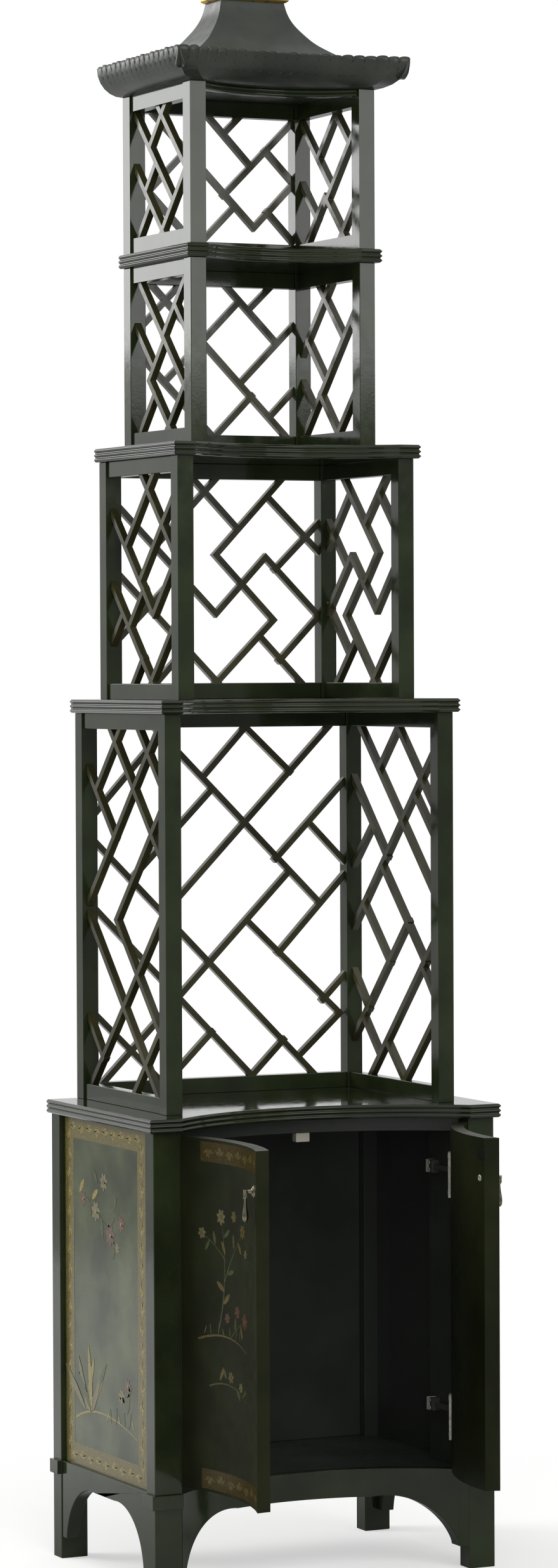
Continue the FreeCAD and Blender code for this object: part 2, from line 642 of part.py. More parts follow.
slot_half = eye_thickness / 2 + fork_clearance
fork_half = slot_half + fork_cheek
fork_centre_y = -eye_standoff
fork = box(-fork_half, fork_half, fork_centre_y - fork_depth / 2, fork_centre_y + fork_depth / 2,
           -fork_drop, fork_depth / 2)
slot = box(-slot_half, slot_half, fork_centre_y - fork_depth, fork_centre_y + fork_depth,
           -fork_slot_depth, fork_depth)
pin = Part.makeCylinder(pin_radius, 2 * fork_half, Vector(-fork_half, fork_centre_y, 0),
                        Vector(1, 0, 0))
pear_height = drop_length - fork_drop
pear_profile = []
for radius_share, height_share in pear_shares:
    pear_profile.append((radius_share * drop_radius, height_share * pear_height - drop_length))
pear_profile.append((stem_radius, -fork_drop))
pear = turned(pear_profile)
pear.translate(Vector(0, fork_centre_y, 0))
drop = fork.cut(slot).multiFuse([pin, pear]).removeSplitter()
drop = turned_to(drop, pull_angle, pull_place)

door_pieces = {"door": door, "hinge_cups": Part.makeCompound(cups), "pull_rosette": rosette,
               "pull_drop": drop}
for piece_name, shut in door_pieces.items():
    right = shut.copy()
    right.rotate(hinge_line, Vector(0, 0, 1), right_door_open_deg)
    nodes["right_" + piece_name] = right
    left = mirrored(shut)
    left.rotate(Vector(-hinge_line.x, hinge_line.y, 0), Vector(0, 0, 1), -left_door_open_deg)
    nodes["left_" + piece_name] = left
strike.rotate(hinge_line, Vector(0, 0, 1), right_door_open_deg)
nodes["right_strike"] = strike

# Hinge arms on their mounting blocks, screwed to the packing strips
block_y = post_inner_y + block_from_post
arm_outer = hollow_half - arm_setback
arms = []
for level in hinge_levels:
    block = box(hollow_half - block_thickness, hollow_half, block_y, block_y + block_width,
                level - block_height / 2, level + block_height / 2)
    arm = box(arm_outer - arm_thickness, arm_outer, block_y - arm_length, block_y,
              level - arm_height / 2, level + arm_height / 2)
    nose = []
    for edge in arm.Edges:
        if edge.BoundBox.ZLength > arm_height / 2 and edge.BoundBox.YMax < block_y - arm_length / 2:
            nose.append(edge)
    arms.append(block.fuse(arm.makeChamfer(arm_thickness / 3, nose)))
right_arms = Part.makeCompound(arms)
nodes["right_hinge_arms"] = right_arms
nodes["left_hinge_arms"] = mirrored(right_arms)

# Magnetic catch under the frieze, just behind the strike of the shut right door
catch_front_y = hollow_centre_y + door_inner_radius + strike_thickness + strike_gap
nodes["magnetic_catch"] = box(catch_from_middle, catch_from_middle + catch_width, catch_front_y,
                              catch_front_y + catch_depth, frieze_underside - catch_height,
                              frieze_underside)

# The origin is on the floor, under the middle of the whole part's box
whole = Part.makeCompound(list(nodes.values())).optimalBoundingBox(False, False)
to_origin = Vector(-(whole.XMin + whole.XMax) / 2, -(whole.YMin + whole.YMax) / 2, -whole.ZMin)
for name, shape in nodes.items():
    shape.translate(to_origin)
    shape.exportStep("parts/" + name + ".step")
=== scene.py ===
import json
import math

import bmesh
import bpy
from mathutils import Matrix, Vector


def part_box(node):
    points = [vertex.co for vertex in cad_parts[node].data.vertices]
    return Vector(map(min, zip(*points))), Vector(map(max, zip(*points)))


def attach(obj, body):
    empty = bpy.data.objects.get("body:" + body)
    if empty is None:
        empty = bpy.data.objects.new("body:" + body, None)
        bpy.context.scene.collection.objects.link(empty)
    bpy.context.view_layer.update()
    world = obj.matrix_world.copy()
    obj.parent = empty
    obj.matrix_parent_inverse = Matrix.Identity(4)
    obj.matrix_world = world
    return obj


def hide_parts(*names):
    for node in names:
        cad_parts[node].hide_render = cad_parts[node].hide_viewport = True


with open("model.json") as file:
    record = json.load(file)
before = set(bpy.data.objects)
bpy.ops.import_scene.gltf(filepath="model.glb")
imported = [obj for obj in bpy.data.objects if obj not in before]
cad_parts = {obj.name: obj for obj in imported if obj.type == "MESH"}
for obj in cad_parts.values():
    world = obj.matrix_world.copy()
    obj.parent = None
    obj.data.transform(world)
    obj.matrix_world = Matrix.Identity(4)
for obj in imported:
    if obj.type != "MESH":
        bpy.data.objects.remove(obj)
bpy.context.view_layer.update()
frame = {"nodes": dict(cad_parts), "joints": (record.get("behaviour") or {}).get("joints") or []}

nodes = frame["nodes"]

# Corner posts and waist collars
# Four hardwood posts stand on the floor and run up to the cabinet top, with a flat collar planted
# round each at the waist. They are sprayed with dark green-black lacquer and rubbed to a gloss.
post_names = ["front_left_post", "front_right_post", "back_left_post", "back_right_post",
              "waist_collars"]
post_arris = 0.0012
# A Mix node has several sockets of one name, so those that are used go by number
SHARE, NUMBER_A, NUMBER_B, COLOUR_A, COLOUR_B = 0, 2, 3, 6, 7
MIXED_NUMBER, MIXED_COLOUR = 0, 2


def srgb(code):
    """An sRGB hex value turned to linear colour."""
    shares = [int(code[at:at + 2], 16) / 255 for at in (1, 3, 5)]
    linear = [share / 12.92 if share <= 0.04045 else ((share + 0.055) / 1.055) ** 2.4
              for share in shares]
    return (*linear, 1.0)


def add_node(tree, kind, inputs=None, **settings):
    """Adds a node with its settings; an input is a number, a colour or the socket that feeds it."""
    node = tree.nodes.new(kind)
    for name, value in settings.items():
        setattr(node, name, value)
    for socket, value in (inputs or {}).items():
        if isinstance(value, bpy.types.NodeSocket):
            tree.links.new(value, node.inputs[socket])
        else:
            node.inputs[socket].default_value = value
    return node


def new_material(name):
    """An empty node material, its tree and its Object coordinates."""
    material = bpy.data.materials.new(name)
    material.use_nodes = True
    tree = material.node_tree
    tree.nodes.clear()
    return material, tree, add_node(tree, "ShaderNodeTexCoord").outputs["Object"]


def patchy_colour(tree, place, size, first, second, detail, low=0.0, high=1.0):
    """A pattern of patches of a real size, and the colour that drifts from tone to tone with it."""
    patches = add_node(tree, "ShaderNodeTexNoise",
                       {"Vector": place, "Scale": 1 / size, "Detail": detail})
    drift = add_node(tree, "ShaderNodeMapRange",
                     {"Value": patches.outputs["Fac"], "From Min": low, "From Max": high})
    colour = add_node(tree, "ShaderNodeMix",
                      {SHARE: drift.outputs[0], COLOUR_A: srgb(first), COLOUR_B: srgb(second)},
                      data_type="RGBA")
    return patches.outputs["Fac"], colour.outputs[MIXED_COLOUR]


def fine_relief(tree, place, size, detail, strength, depth):
    """The normal of a surface with fine waves of a real size."""
    waves = add_node(tree, "ShaderNodeTexNoise",
                     {"Vector": place, "Scale": 1 / size, "Detail": detail})
    bump = add_node(tree, "ShaderNodeBump",
                    {"Height": waves.outputs["Fac"], "Strength": strength, "Distance": depth})
    return bump.outputs["Normal"]


def lacquered_wood(name, deep, pale, gloss_low, gloss_high, shine=0.5):
    """Sprayed lacquer over wood: clouded colour, streaks in the gloss and a faint orange peel."""
    material, tree, place = new_material(name)
    # Colour drifts over patches about 90 mm across
    cloud_size = 0.09
    colour = patchy_colour(tree, place, cloud_size, deep, pale, detail=4.0, low=0.35, high=0.68)[1]
    # Rubbing leaves streaks about 15 mm long in the gloss
    streak_length = 0.015
    rubbing = add_node(tree, "ShaderNodeTexNoise",
                       {"Vector": place, "Scale": 1 / streak_length, "Detail": 3.0})
    gloss = add_node(tree, "ShaderNodeMapRange",
                     {"Value": rubbing.outputs["Fac"], "From Min": 0.3, "From Max": 0.7,
                      "To Min": gloss_low, "To Max": gloss_high})
    # Orange peel of a sprayed coat, real waves 2 mm long, drawn 4 mm long so that they show
    peel_wave = 0.004
    peel = fine_relief(tree, place, peel_wave, detail=1.0, strength=0.10, depth=0.0002)
    shader = add_node(tree, "ShaderNodeBsdfPrincipled",
                      {"Base Color": colour, "Roughness": gloss.outputs[0], "IOR": 1.5,
                       "Specular IOR Level": shine, "Normal": peel})
    add_node(tree, "ShaderNodeOutputMaterial", {"Surface": shader.outputs[0]})
    return material


sharp_bend = math.radians(20)
soft_faces = bpy.data.node_groups.new("soft_faces", "GeometryNodeTree")
for way in ("INPUT", "OUTPUT"):
    soft_faces.interface.new_socket("Geometry", in_out=way, socket_type="NodeSocketGeometry")
raw_faces = add_node(soft_faces, "NodeGroupInput")
bend_angle = add_node(soft_faces, "GeometryNodeInputMeshEdgeAngle")
sharp_edges = add_node(soft_faces, "FunctionNodeCompare",
                       {0: bend_angle.outputs[0], 1: sharp_bend}, data_type="FLOAT",
                       operation="GREATER_THAN")
all_soft = add_node(soft_faces, "GeometryNodeSetShadeSmooth",
                    {"Geometry": raw_faces.outputs[0], "Shade Smooth": True}, domain="FACE")
crisp = add_node(soft_faces, "GeometryNodeSetShadeSmooth",
                 {"Geometry": all_soft.outputs[0], "Selection": sharp_edges.outputs[0],
                  "Shade Smooth": False}, domain="EDGE")
add_node(soft_faces, "NodeGroupOutput", {0: crisp.outputs[0]})


def soften(names):
    """Lets bent faces of CAD nodes run smooth between their arrises."""
    join_reach = 0.00001
    for name in names:
        nodes[name].modifiers.new("joined", "WELD").merge_threshold = join_reach
        nodes[name].modifiers.new("soft", "NODES").node_group = soft_faces


def dress(names, material, arris=0.0, segments=2):
    """Gives CAD nodes their finish; arris is how much of their edges was sanded off before it."""
    for name in names:
        nodes[name].material_slots[0].material = material
    if not arris:
        return
    eased_from = math.radians(30)
    soften(names)
    for name in names:
        bevel = nodes[name].modifiers.new("eased", "BEVEL")
        bevel.width = arris
        bevel.segments = segments
        bevel.limit_method = "ANGLE"
        bevel.angle_limit = eased_from
        bevel.harden_normals = True


# Rubbed lacquer is near black face on, olive where the light is strong, with sharp pale glints
frame_finish = ("#191F11", "#262E1A", 0.07, 0.14)
lacquer = lacquered_wood("green_black_lacquer", *frame_finish)
dress(post_names, lacquer, post_arris)

# Arched aprons
# A bent rail at the front and straight ones at the sides, each sawn to a low arch whose brackets
# end square on the legs above the floor, and a plain rail at the back. Lacquered with the posts.
apron_names = ["front_apron", "left_apron", "right_apron", "back_apron"]
apron_arris = 0.001
dress(apron_names, lacquer, apron_arris)

# Cabinet inside: floor, back, hinge battens and frieze rail
# Plain boards glued and pinned between the posts, painted satin black-green on every face.
# The paint shines little and takes in most of the light, so that the open cabinet looks deep.
inner_names = ["cabinet_floor", "back_panel", "left_hinge_batten", "right_hinge_batten",
               "frieze_rail"]
inner_arris = 0.0008
inner_black = "#272A27"
inner_lacquer = lacquered_wood("black_inner_lacquer", inner_black, "#2F322F", 0.28, 0.42)
dress(inner_names, inner_lacquer, inner_arris)

# Side panels
# Flat panels let in between the posts, lacquered, with a band of gilt scroll painted round the
# edge and a spray of flowers in gold and colours inside it, raised a hair above the ground.
panel_names = ["left_side_panel", "right_side_panel"]
back_post_names = ["back_left_post", "back_right_post"]


def paint_inside(material, reach):
    """Gives what lies in the cabinet, nearer the middle than reach, the inner boards' colour."""
    tree = material.node_tree
    shader = tree.nodes["Principled BSDF"]
    outer_colour = shader.inputs["Base Color"].links[0].from_socket
    place = add_node(tree, "ShaderNodeSeparateXYZ",
                     {"Vector": tree.nodes["Texture Coordinate"].outputs["Object"]})
    across = add_node(tree, "ShaderNodeMath", {0: place.outputs["X"]}, operation="ABSOLUTE")
    limits = ((across.outputs[0], "LESS_THAN", reach),
              (place.outputs["Y"], "LESS_THAN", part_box("back_panel")[1].y),
              (place.outputs["Z"], "GREATER_THAN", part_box("cabinet_floor")[0].z))
    inside = 1.0
    for spot, side_of, limit in limits:
        within = add_node(tree, "ShaderNodeMath", {0: spot, 1: limit}, operation=side_of)
        inside = add_node(tree, "ShaderNodeMath", {0: inside, 1: within.outputs[0]},
                          operation="MULTIPLY").outputs[0]
    colour = add_node(tree, "ShaderNodeMix",
                      {SHARE: inside, COLOUR_A: outer_colour, COLOUR_B: srgb(inner_black)},
                      data_type="RGBA")
    tree.links.new(colour.outputs[MIXED_COLOUR], shader.inputs["Base Color"])


# The panels' lacquer has clouded with age, to a mottled grey-green in place of sharp glints
# Its paler tone is partly a painted sheen, standing in for the pale room that the panels reflect
panel_lacquer = lacquered_wood("panel_lacquer", "#28301A", "#4A5238", 0.12, 0.22, shine=0.45)
right_panel_low, right_panel_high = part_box("right_side_panel")
paint_inside(panel_lacquer, (right_panel_low.x + right_panel_high.x) / 2)
dress(panel_names, panel_lacquer)
# The back posts are as glossy as the others, with the inner boards' colour where they show inside
back_post_lacquer = lacquered_wood("back_post_lacquer", *frame_finish)
paint_inside(back_post_lacquer, right_panel_high.x)
dress(back_post_names, back_post_lacquer)


def lacquer_paint(name, deep, pale, shine=0.5):
    """Colour in lacquer laid on with a brush: streaky, thin in places, varnished over."""
    material, tree, place = new_material(name)
    # Brush streaks about 3 mm apart
    streak_gap = 0.003
    streaks, colour = patchy_colour(tree, place, streak_gap, deep, pale, detail=3.0,
                                    low=0.35, high=0.65)
    bump = add_node(tree, "ShaderNodeBump",
                    {"Height": streaks, "Strength": 0.15, "Distance": 0.0002})
    shader = add_node(tree, "ShaderNodeBsdfPrincipled",
                      {"Base Color": colour, "Roughness": 0.24, "IOR": 1.5,
                       "Specular IOR Level": shine, "Normal": bump.outputs["Normal"]})
    add_node(tree, "ShaderNodeOutputMaterial", {"Surface": shader.outputs[0]})
    return material


# The gold is powder in lacquer, so it is a dull ochre that never shines like leaf
panel_paints = [lacquer_paint("brown_gold_ground", "#4F4720", "#645B31"),
                lacquer_paint("gold_paint", "#6A5D28", "#887B46"),
                lacquer_paint("cream_paint", "#545038", "#6B6648"),
                lacquer_paint("iron_red_paint", "#4A3428", "#5C4236"),
                lacquer_paint("moss_green_paint", "#2C321A", "#434826")]
GROUND, GOLD, PALE, RED, LEAF = range(5)
# Thickness of the coats, and how much higher a stroke lies than the one that it crosses
ground_coat, stem_coat, leaf_coat, heart_coat = 0.0002, 0.00025, 0.0003, 0.0005
petal_over, blade_over = 0.00003, 0.00004


def of_kind(parts, kind):
    """The vertices or the faces among the parts that an operator gives back."""
    return [part for part in parts if isinstance(part, kind)]


def faces_on(verts):
    """The faces that meet at these vertices, each once."""
    return list(dict.fromkeys(face for vert in verts for face in vert.link_faces))


def raise_faces(art, faces, lift, paint):
    """Raises flat faces into a thin coat with its own paint."""
    raised = bmesh.ops.extrude_face_region(art, geom=faces, use_keep_orig=True)["geom"]
    bmesh.ops.translate(art, vec=(0, 0, lift), verts=of_kind(raised, bmesh.types.BMVert))
    for face in faces + of_kind(raised, bmesh.types.BMFace):
        face.material_index = paint
        for edge in face.edges:
            for side in edge.link_faces:
                side.material_index = paint


def flat_sheet(art, middle, wide, tall, steps=1):
    """A flat rectangle about its middle, cut into steps along its length."""
    sheet = bmesh.ops.create_grid(art, x_segments=steps, y_segments=1, size=0.5)["verts"]
    place = Matrix.Translation((*middle, 0)) @ Matrix.Diagonal((wide, tall, 1, 1))
    bmesh.ops.transform(art, matrix=place, verts=sheet)
    return faces_on(sheet)


def brush_leaf(art, u, v, turn, length, width, paint, lift=leaf_coat):
    """One brush stroke in the shape of a leaf or petal, from its foot at u, v."""
    end_taper = 0.7
    disc = bmesh.ops.create_circle(art, cap_ends=True, segments=10, radius=0.5)["verts"]
    for vert in disc:
        vert.co.y *= 1 - end_taper * abs(2 * vert.co.x) ** 3
    place = (Matrix.Translation((u, v, 0)) @ Matrix.Rotation(math.radians(turn), 4, "Z")
             @ Matrix.Diagonal((length, width, 1, 1)) @ Matrix.Translation((0.5, 0, 0)))
    bmesh.ops.transform(art, matrix=place, verts=disc)
    raise_faces(art, [disc[0].link_faces[0]], lift, paint)


def brush_stem(art, points, width, paint):
    """A stroke along a bent line of three points, broad at the foot and thin at the tip."""
    steps, foot_share, thinning = 10, 1.2, 0.8
    strip = bmesh.ops.create_grid(art, x_segments=steps, y_segments=1, size=0.5)["verts"]
    foot, bend, tip = [Vector(point) for point in points]
    for vert in strip:
        t = vert.co.x + 0.5
        spot = foot * (1 - t) ** 2 + bend * (2 * t * (1 - t)) + tip * t ** 2
        way = ((bend - foot) * (1 - t) + (tip - bend) * t).normalized()
        across = vert.co.y * width * (foot_share - thinning * t)
        vert.co = (spot.x - way.y * across, spot.y + way.x * across, 0)
    raise_faces(art, faces_on(strip), stem_coat, paint)


def brush_blossom(art, u, v, size, petals, paint, heart):
    """An open flower: a ring of petals and a small raised heart."""
    first_turn, petal_share, heart_share = 11, 1.9, 0.11
    for petal in range(petals):
        brush_leaf(art, u, v, 360 * petal / petals + first_turn, size / 2,
                   size * petal_share / petals, paint, leaf_coat + petal_over * (petal % 2))
    disc = bmesh.ops.create_circle(art, cap_ends=True, segments=8, radius=size * heart_share)
    bmesh.ops.translate(art, vec=(u, v, 0), verts=disc["verts"])
    raise_faces(art, [disc["verts"][0].link_faces[0]], heart_coat, heart)


def brush_spray(art, stems, flowers, leaves, leaf_share, grass, mirror=None):
    """Stems, flowers, leaves and a row of grass, the other way round where a mirror is given."""
    def across(u):
        return u if mirror is None else mirror - u

    def heading(turn):
        return turn if mirror is None else 180 - turn

    for foot, bend, tip, width, paint in stems:
        brush_stem(art, [(across(u), v) for u, v in (foot, bend, tip)], width, paint)
    for u, v, size, petals, paint, heart in flowers:
        brush_blossom(art, across(u), v, size, petals, paint, heart)
    for u, v, turn, length in leaves:
        brush_leaf(art, across(u), v, heading(turn), length, length * leaf_share,
                   LEAF if turn % 2 else GOLD)
    blades, least_turn, fan = 7, 66, 7
    first_u, foot_v, gap, length, growth, width = grass
    for blade in range(blades):
        brush_leaf(art, across(first_u + gap * blade), foot_v,
                   heading(least_turn + fan * (5 * blade % 8)), length + growth * (blade % 3),
                   width, LEAF if blade % 3 else GOLD)


# One stamp of the running scroll: a flower on one side of a thin vine and two leaves on the other
scroll_pitch, scroll_off = 0.028, 0.0035
scroll_flower = 0.011
scroll_leaf_length, scroll_leaf_width = 0.013, 0.0045
scroll_vine_length, scroll_vine_width = 0.014, 0.0016
scroll_art = bmesh.new()
brush_blossom(scroll_art, 0, scroll_off, scroll_flower, 5, GOLD, PALE)
for leaf_turn in (28, 152):
    brush_leaf(scroll_art, 0, -scroll_off, leaf_turn, scroll_leaf_length, scroll_leaf_width, GOLD)
brush_leaf(scroll_art, 0, 0, 8, scroll_vine_length, scroll_vine_width, GOLD)
scroll_stamp = bpy.data.meshes.new("scroll_stamp")
scroll_art.to_mesh(scroll_stamp)
scroll_art.free()


def brush_scroll(art, start, end):
    """A running scroll along a band, every other stamp turned over."""
    run = Vector(end) - Vector(start)
    count = max(2, round(run.length / scroll_pitch))
    way = Matrix.Rotation(math.atan2(run.y, run.x), 4, "Z")
    for step in range(count):
        spot = Vector(start) + run * ((step + 0.5) / count)
        place = (Matrix.Translation((spot.x, spot.y, 0)) @ way
                 @ Matrix.Diagonal((1, 1 if step % 2 else -1, 1, 1)))
        scroll_stamp.transform(place)
        art.from_mesh(scroll_stamp)
        scroll_stamp.transform(place.inverted())


def put_in_scene(name, data):
    """An object with this data, at the origin of the scene."""
    thing = bpy.data.objects.new(name, data)
    bpy.context.scene.collection.objects.link(thing)
    return thing


def finish_piece(name, mesh, materials, body, rounded=False):
    """Makes the piece's object at the origin, shades it and lets it ride on its body."""
    bmesh.ops.recalc_face_normals(mesh, faces=mesh.faces)
    for face in mesh.faces:
        face.smooth = rounded
    data = bpy.data.meshes.new(name)
    mesh.to_mesh(data)
    mesh.free()
    for material in materials:
        data.materials.append(material)
    piece = put_in_scene(name, data)
    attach(piece, body)
    return piece


# The painted frame keeps clear of the posts, more so at the front, where the post hides the edge
band_width = 0.031
front_margin, back_margin, end_margin = 0.014, 0.004, 0.001
# A twig with flowers reaches in from the edge; below it a tuft of leaves grows on a low bank.
# A stem has its foot, bend, tip, width and paint, a flower its place, size, petals, paint and
# heart, a leaf its place, turn and length, and the grass its place, gap, length, growth and width
panel_stems = (((0.034, 0.400), (0.095, 0.398), (0.165, 0.352), 0.0026, LEAF),
               ((0.088, 0.392), (0.112, 0.418), (0.140, 0.424), 0.0020, LEAF),
               ((0.120, 0.380), (0.165, 0.386), (0.200, 0.372), 0.0020, LEAF),
               ((0.036, 0.070), (0.120, 0.108), (0.262, 0.066), 0.0030, GOLD))
panel_flowers = ((0.165, 0.350, 0.034, 7, RED, PALE), (0.142, 0.425, 0.028, 7, PALE, RED),
                 (0.112, 0.380, 0.032, 7, PALE, GOLD), (0.066, 0.394, 0.024, 7, RED, GOLD),
                 (0.204, 0.370, 0.026, 7, RED, GOLD), (0.190, 0.334, 0.018, 7, PALE, GOLD),
                 (0.226, 0.140, 0.022, 7, RED, GOLD), (0.204, 0.122, 0.024, 7, PALE, GOLD))
panel_leaves = ((0.052, 0.402, 50, 0.028), (0.080, 0.398, -61, 0.032), (0.098, 0.396, 36, 0.028),
                (0.130, 0.374, -75, 0.032), (0.150, 0.362, 25, 0.034), (0.118, 0.420, 125, 0.026),
                (0.178, 0.344, -95, 0.028), (0.176, 0.384, 65, 0.026), (0.216, 0.122, 35, 0.030),
                (0.214, 0.114, 151, 0.026), (0.222, 0.098, 75, 0.034))
panel_leaf_share = 0.36
panel_grass = (0.150, 0.078, 0.016, 0.018, 0.004, 0.0034)
tuft_blades, tuft_u, tuft_v, tuft_gap = 13, 0.074, 0.084, 0.007
tuft_turn, tuft_fan = 34, 9
tuft_length, tuft_growth, tuft_width = 0.048, 0.013, 0.012
for side, panel_name in ((-1, "left_side_panel"), (1, "right_side_panel")):
    low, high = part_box(panel_name)
    wide, tall = high.y - low.y - front_margin - back_margin, high.z - low.z
    art = bmesh.new()
    field = flat_sheet(art, (wide / 2, tall / 2), wide, tall - 2 * end_margin)
    bmesh.ops.inset_region(art, faces=field, thickness=band_width, use_even_offset=True,
                           use_boundary=True)
    bmesh.ops.delete(art, geom=field, context="FACES")
    raise_faces(art, list(art.faces), ground_coat, GROUND)
    mid = band_width / 2
    corners = [(mid, mid), (wide - mid, mid), (wide - mid, tall - mid), (mid, tall - mid)]
    for at in range(4):
        brush_scroll(art, corners[at], corners[(at + 1) % 4])
    brush_spray(art, panel_stems, panel_flowers, panel_leaves, panel_leaf_share, panel_grass)
    for blade in range(tuft_blades):
        brush_leaf(art, tuft_u + tuft_gap * (blade % 4), tuft_v, tuft_turn + tuft_fan * blade,
                   tuft_length + tuft_growth * (2 * blade % 5), tuft_width,
                   (PALE, GOLD, LEAF)[blade % 3], leaf_coat + blade_over * blade)
    out = Vector((side, 0, 0))
    along = Vector((0, side, 0))
    origin = Vector((low.x if side < 0 else high.x,
                     high.y - back_margin if side < 0 else low.y + front_margin, low.z))
    lay = Matrix.Translation(origin) @ Matrix((along, (0, 0, 1), out)).transposed().to_4x4()
    bmesh.ops.transform(art, matrix=lay, verts=art.verts)
    finish_piece(panel_name + "_painting", art, panel_paints, "carcass")

# Cabinet top and shelves
# Four boards with a hollow front, their open edges run with three fine beads, screwed down on the
# posts below. Their lacquer is flatted and polished, so that posts and frets stand mirrored in it.
board_names = ["cabinet_top", "shelf_1", "shelf_2", "shelf_3"]
board_arris = 0.0011
board_lacquer = lacquered_wood("board_lacquer", "#191D12", "#262B1B", 0.04, 0.09)
dress(board_names, board_lacquer, board_arris, segments=3)

# Tier frames
# Square posts and flat rails, dowelled together, that stand on each board in turn. They are
# lacquered and rubbed like the corner posts.
tiers = range(1, 5)
frame_names = [f"tier_{number}_{kind}" for number in tiers for kind in ("posts", "rails")]
frame_arris = 0.0009
dress(frame_names, lacquer, frame_arris)

# Fretwork
# Thin square bars lapped at 45 degrees into lattices and let into the tier frames. Their lacquer
# is brushed on, with a softer and more broken shine; its warmer tone is partly painted reflection.
fret_names = [f"tier_{number}_{place}_fret" for number in tiers
              for place in ("back", "left", "right")]
fret_arris = 0.0007
fret_lacquer = lacquered_wood("fret_lacquer", "#242314", "#393722", 0.16, 0.28)
dress(fret_names, fret_lacquer, fret_arris)

# Eave and ceiling board
# A quarter-round moulding that reaches out over the top tier. Its upper half is carved into a row
# of upright lobes like small roof tiles, which stand up over the rim at the front and the sides.
ceiling_arris = 0.0008
# Out of reach of the polishing cloth the lacquer has dulled, to a soft grey sheen on round forms
eave_lacquer = lacquered_wood("eave_lacquer", "#242822", "#343832", 0.26, 0.38)
dress(["ceiling_board"], eave_lacquer, ceiling_arris)
dress(["eave_moulding"], eave_lacquer)
soften(["eave_moulding"])
eave_low, eave_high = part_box("eave_moulding")
top_posts_low, top_posts_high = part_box("tier_4_posts")
top_post_size = 0.025
eave_rise = eave_high.z - eave_low.z
side_reach = eave_high.x - top_posts_high.x
front_reach = top_posts_low.y - eave_low.y
low_hollow, high_hollow = 0.0467, 0.025
lobe_pitch, lobe_swell, lobe_over = 0.017, 0.0013, 0.003
lobe_sunk, lobe_backing, lobe_end_gap = 0.0003, 0.005, 0.002
lobe_foot = math.radians(46)
lobe_foot_share, lobe_spread = 0.7, 1.2
lobe_cells = 6


def eave_point(side, run, turn):
    """A point of the moulding's face: side -1, 0 or 1 is left, front or right."""
    level = eave_low.z + eave_rise * (1 - math.cos(turn))
    half = top_posts_high.x + side_reach * math.sin(turn)
    if side:
        return Vector((side * half, run, level))
    hollow = low_hollow + (high_hollow - low_hollow) * (1 - math.cos(turn))
    inner = half - top_post_size
    radius = (inner ** 2 + hollow ** 2) / (2 * hollow)
    front = top_posts_low.y - front_reach * math.sin(turn)
    if abs(run) < inner:
        front += hollow - radius + math.sqrt(radius ** 2 - run ** 2)
    return Vector((run, front, level))


lobes = bmesh.new()
for side in (-1, 0, 1):
    start, end = (eave_low.y, eave_high.y - lobe_end_gap) if side else (eave_low.x, eave_high.x)
    out = Vector((side, 0 if side else -1, 0))
    reach = side_reach if side else front_reach
    count = round((end - start) / lobe_pitch)
    for number in range(count):
        middle = start + (end - start) * (number + 0.5) / count
        # Cut by eye with a gouge, so each lobe stands a little higher or lower than the next
        by_eye = 0.8 + 0.2 * math.sin(2.4 * number + 3 * side)
        sheet = bmesh.ops.create_grid(lobes, x_segments=lobe_cells, y_segments=lobe_cells,
                                      size=0.5)["verts"]
        for vert in sheet:
            across, up = 2 * vert.co.x, vert.co.y + 0.5
            turn = lobe_foot + up * (math.pi / 2 - lobe_foot)
            round_off = by_eye * math.sqrt(max(0.0, 1 - across ** 2))
            half_width = lobe_pitch / 2 * min(1, lobe_foot_share + lobe_spread * up)
            normal = (out * eave_rise * math.sin(turn)
                      - Vector((0, 0, reach * math.cos(turn)))).normalized()
            vert.co = (eave_point(side, middle + across * half_width, turn)
                       + normal * (lobe_swell * round_off * up - lobe_sunk)
                       + Vector((0, 0, lobe_over * round_off * up ** 3)))
        backing = bmesh.ops.extrude_face_region(lobes, geom=faces_on(sheet),
                                                use_keep_orig=True)["geom"]
        bmesh.ops.translate(lobes, vec=-out * lobe_backing,
                            verts=of_kind(backing, bmesh.types.BMVert))
finish_piece("eave_lobes", lobes, [eave_lacquer], "carcass", rounded=True)

# A beaded strip is glued under the eave along its hollow front, from post to post
strip_behind, strip_end_gap = 0.004, 0.0005
strip_sharp_bend = math.radians(50)
hollow_half = top_posts_high.x - top_post_size
eave_radius = (hollow_half ** 2 + low_hollow ** 2) / (2 * low_hollow)
strip_centre = Vector((0, top_posts_low.y + low_hollow - eave_radius, 0))
strip_radius = eave_radius + strip_behind
strip_turn = math.asin((hollow_half - strip_end_gap) / strip_radius)
# Its section, as the distance back from the strip's line and the level under the eave
bead_section = [(0.010, 0.0), (0.0, 0.0), (-0.0016, -0.0012), (-0.0020, -0.0026),
                (-0.0014, -0.0040), (0.0004, -0.0048), (0.0008, -0.0060), (-0.0012, -0.0070),
                (-0.0016, -0.0084), (-0.0008, -0.0098), (0.0010, -0.0106), (0.010, -0.0110)]
strip_end = (Matrix.Translation(strip_centre + Vector((0, 0, eave_low.z)))
             @ Matrix.Rotation(strip_turn, 4, "Z"))
bead = bmesh.new()
points = [bead.verts.new(strip_end @ Vector((0, strip_radius + back, level)))
          for back, level in bead_section]
bmesh.ops.spin(bead, geom=[bead.faces.new(points)], cent=strip_centre, axis=(0, 0, 1),
               angle=-2 * strip_turn, steps=28, use_duplicate=False)
bead_piece = finish_piece("eave_bead", bead, [lacquer], "carcass", rounded=True)
bead_piece.data.set_sharp_from_angle(angle=strip_sharp_bend)

# Hipped roof
# Four swept slopes that rise from behind the eave to a narrow neck, built up in wood, filled and
# lacquered. The hips are crisp and the slopes run in one smooth curve.
roof_low, roof_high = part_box("hipped_roof")
neck_half_x, neck_half_y, neck_from_back = 0.051, 0.0275, 0.112
neck_y = top_posts_high.y - neck_from_back
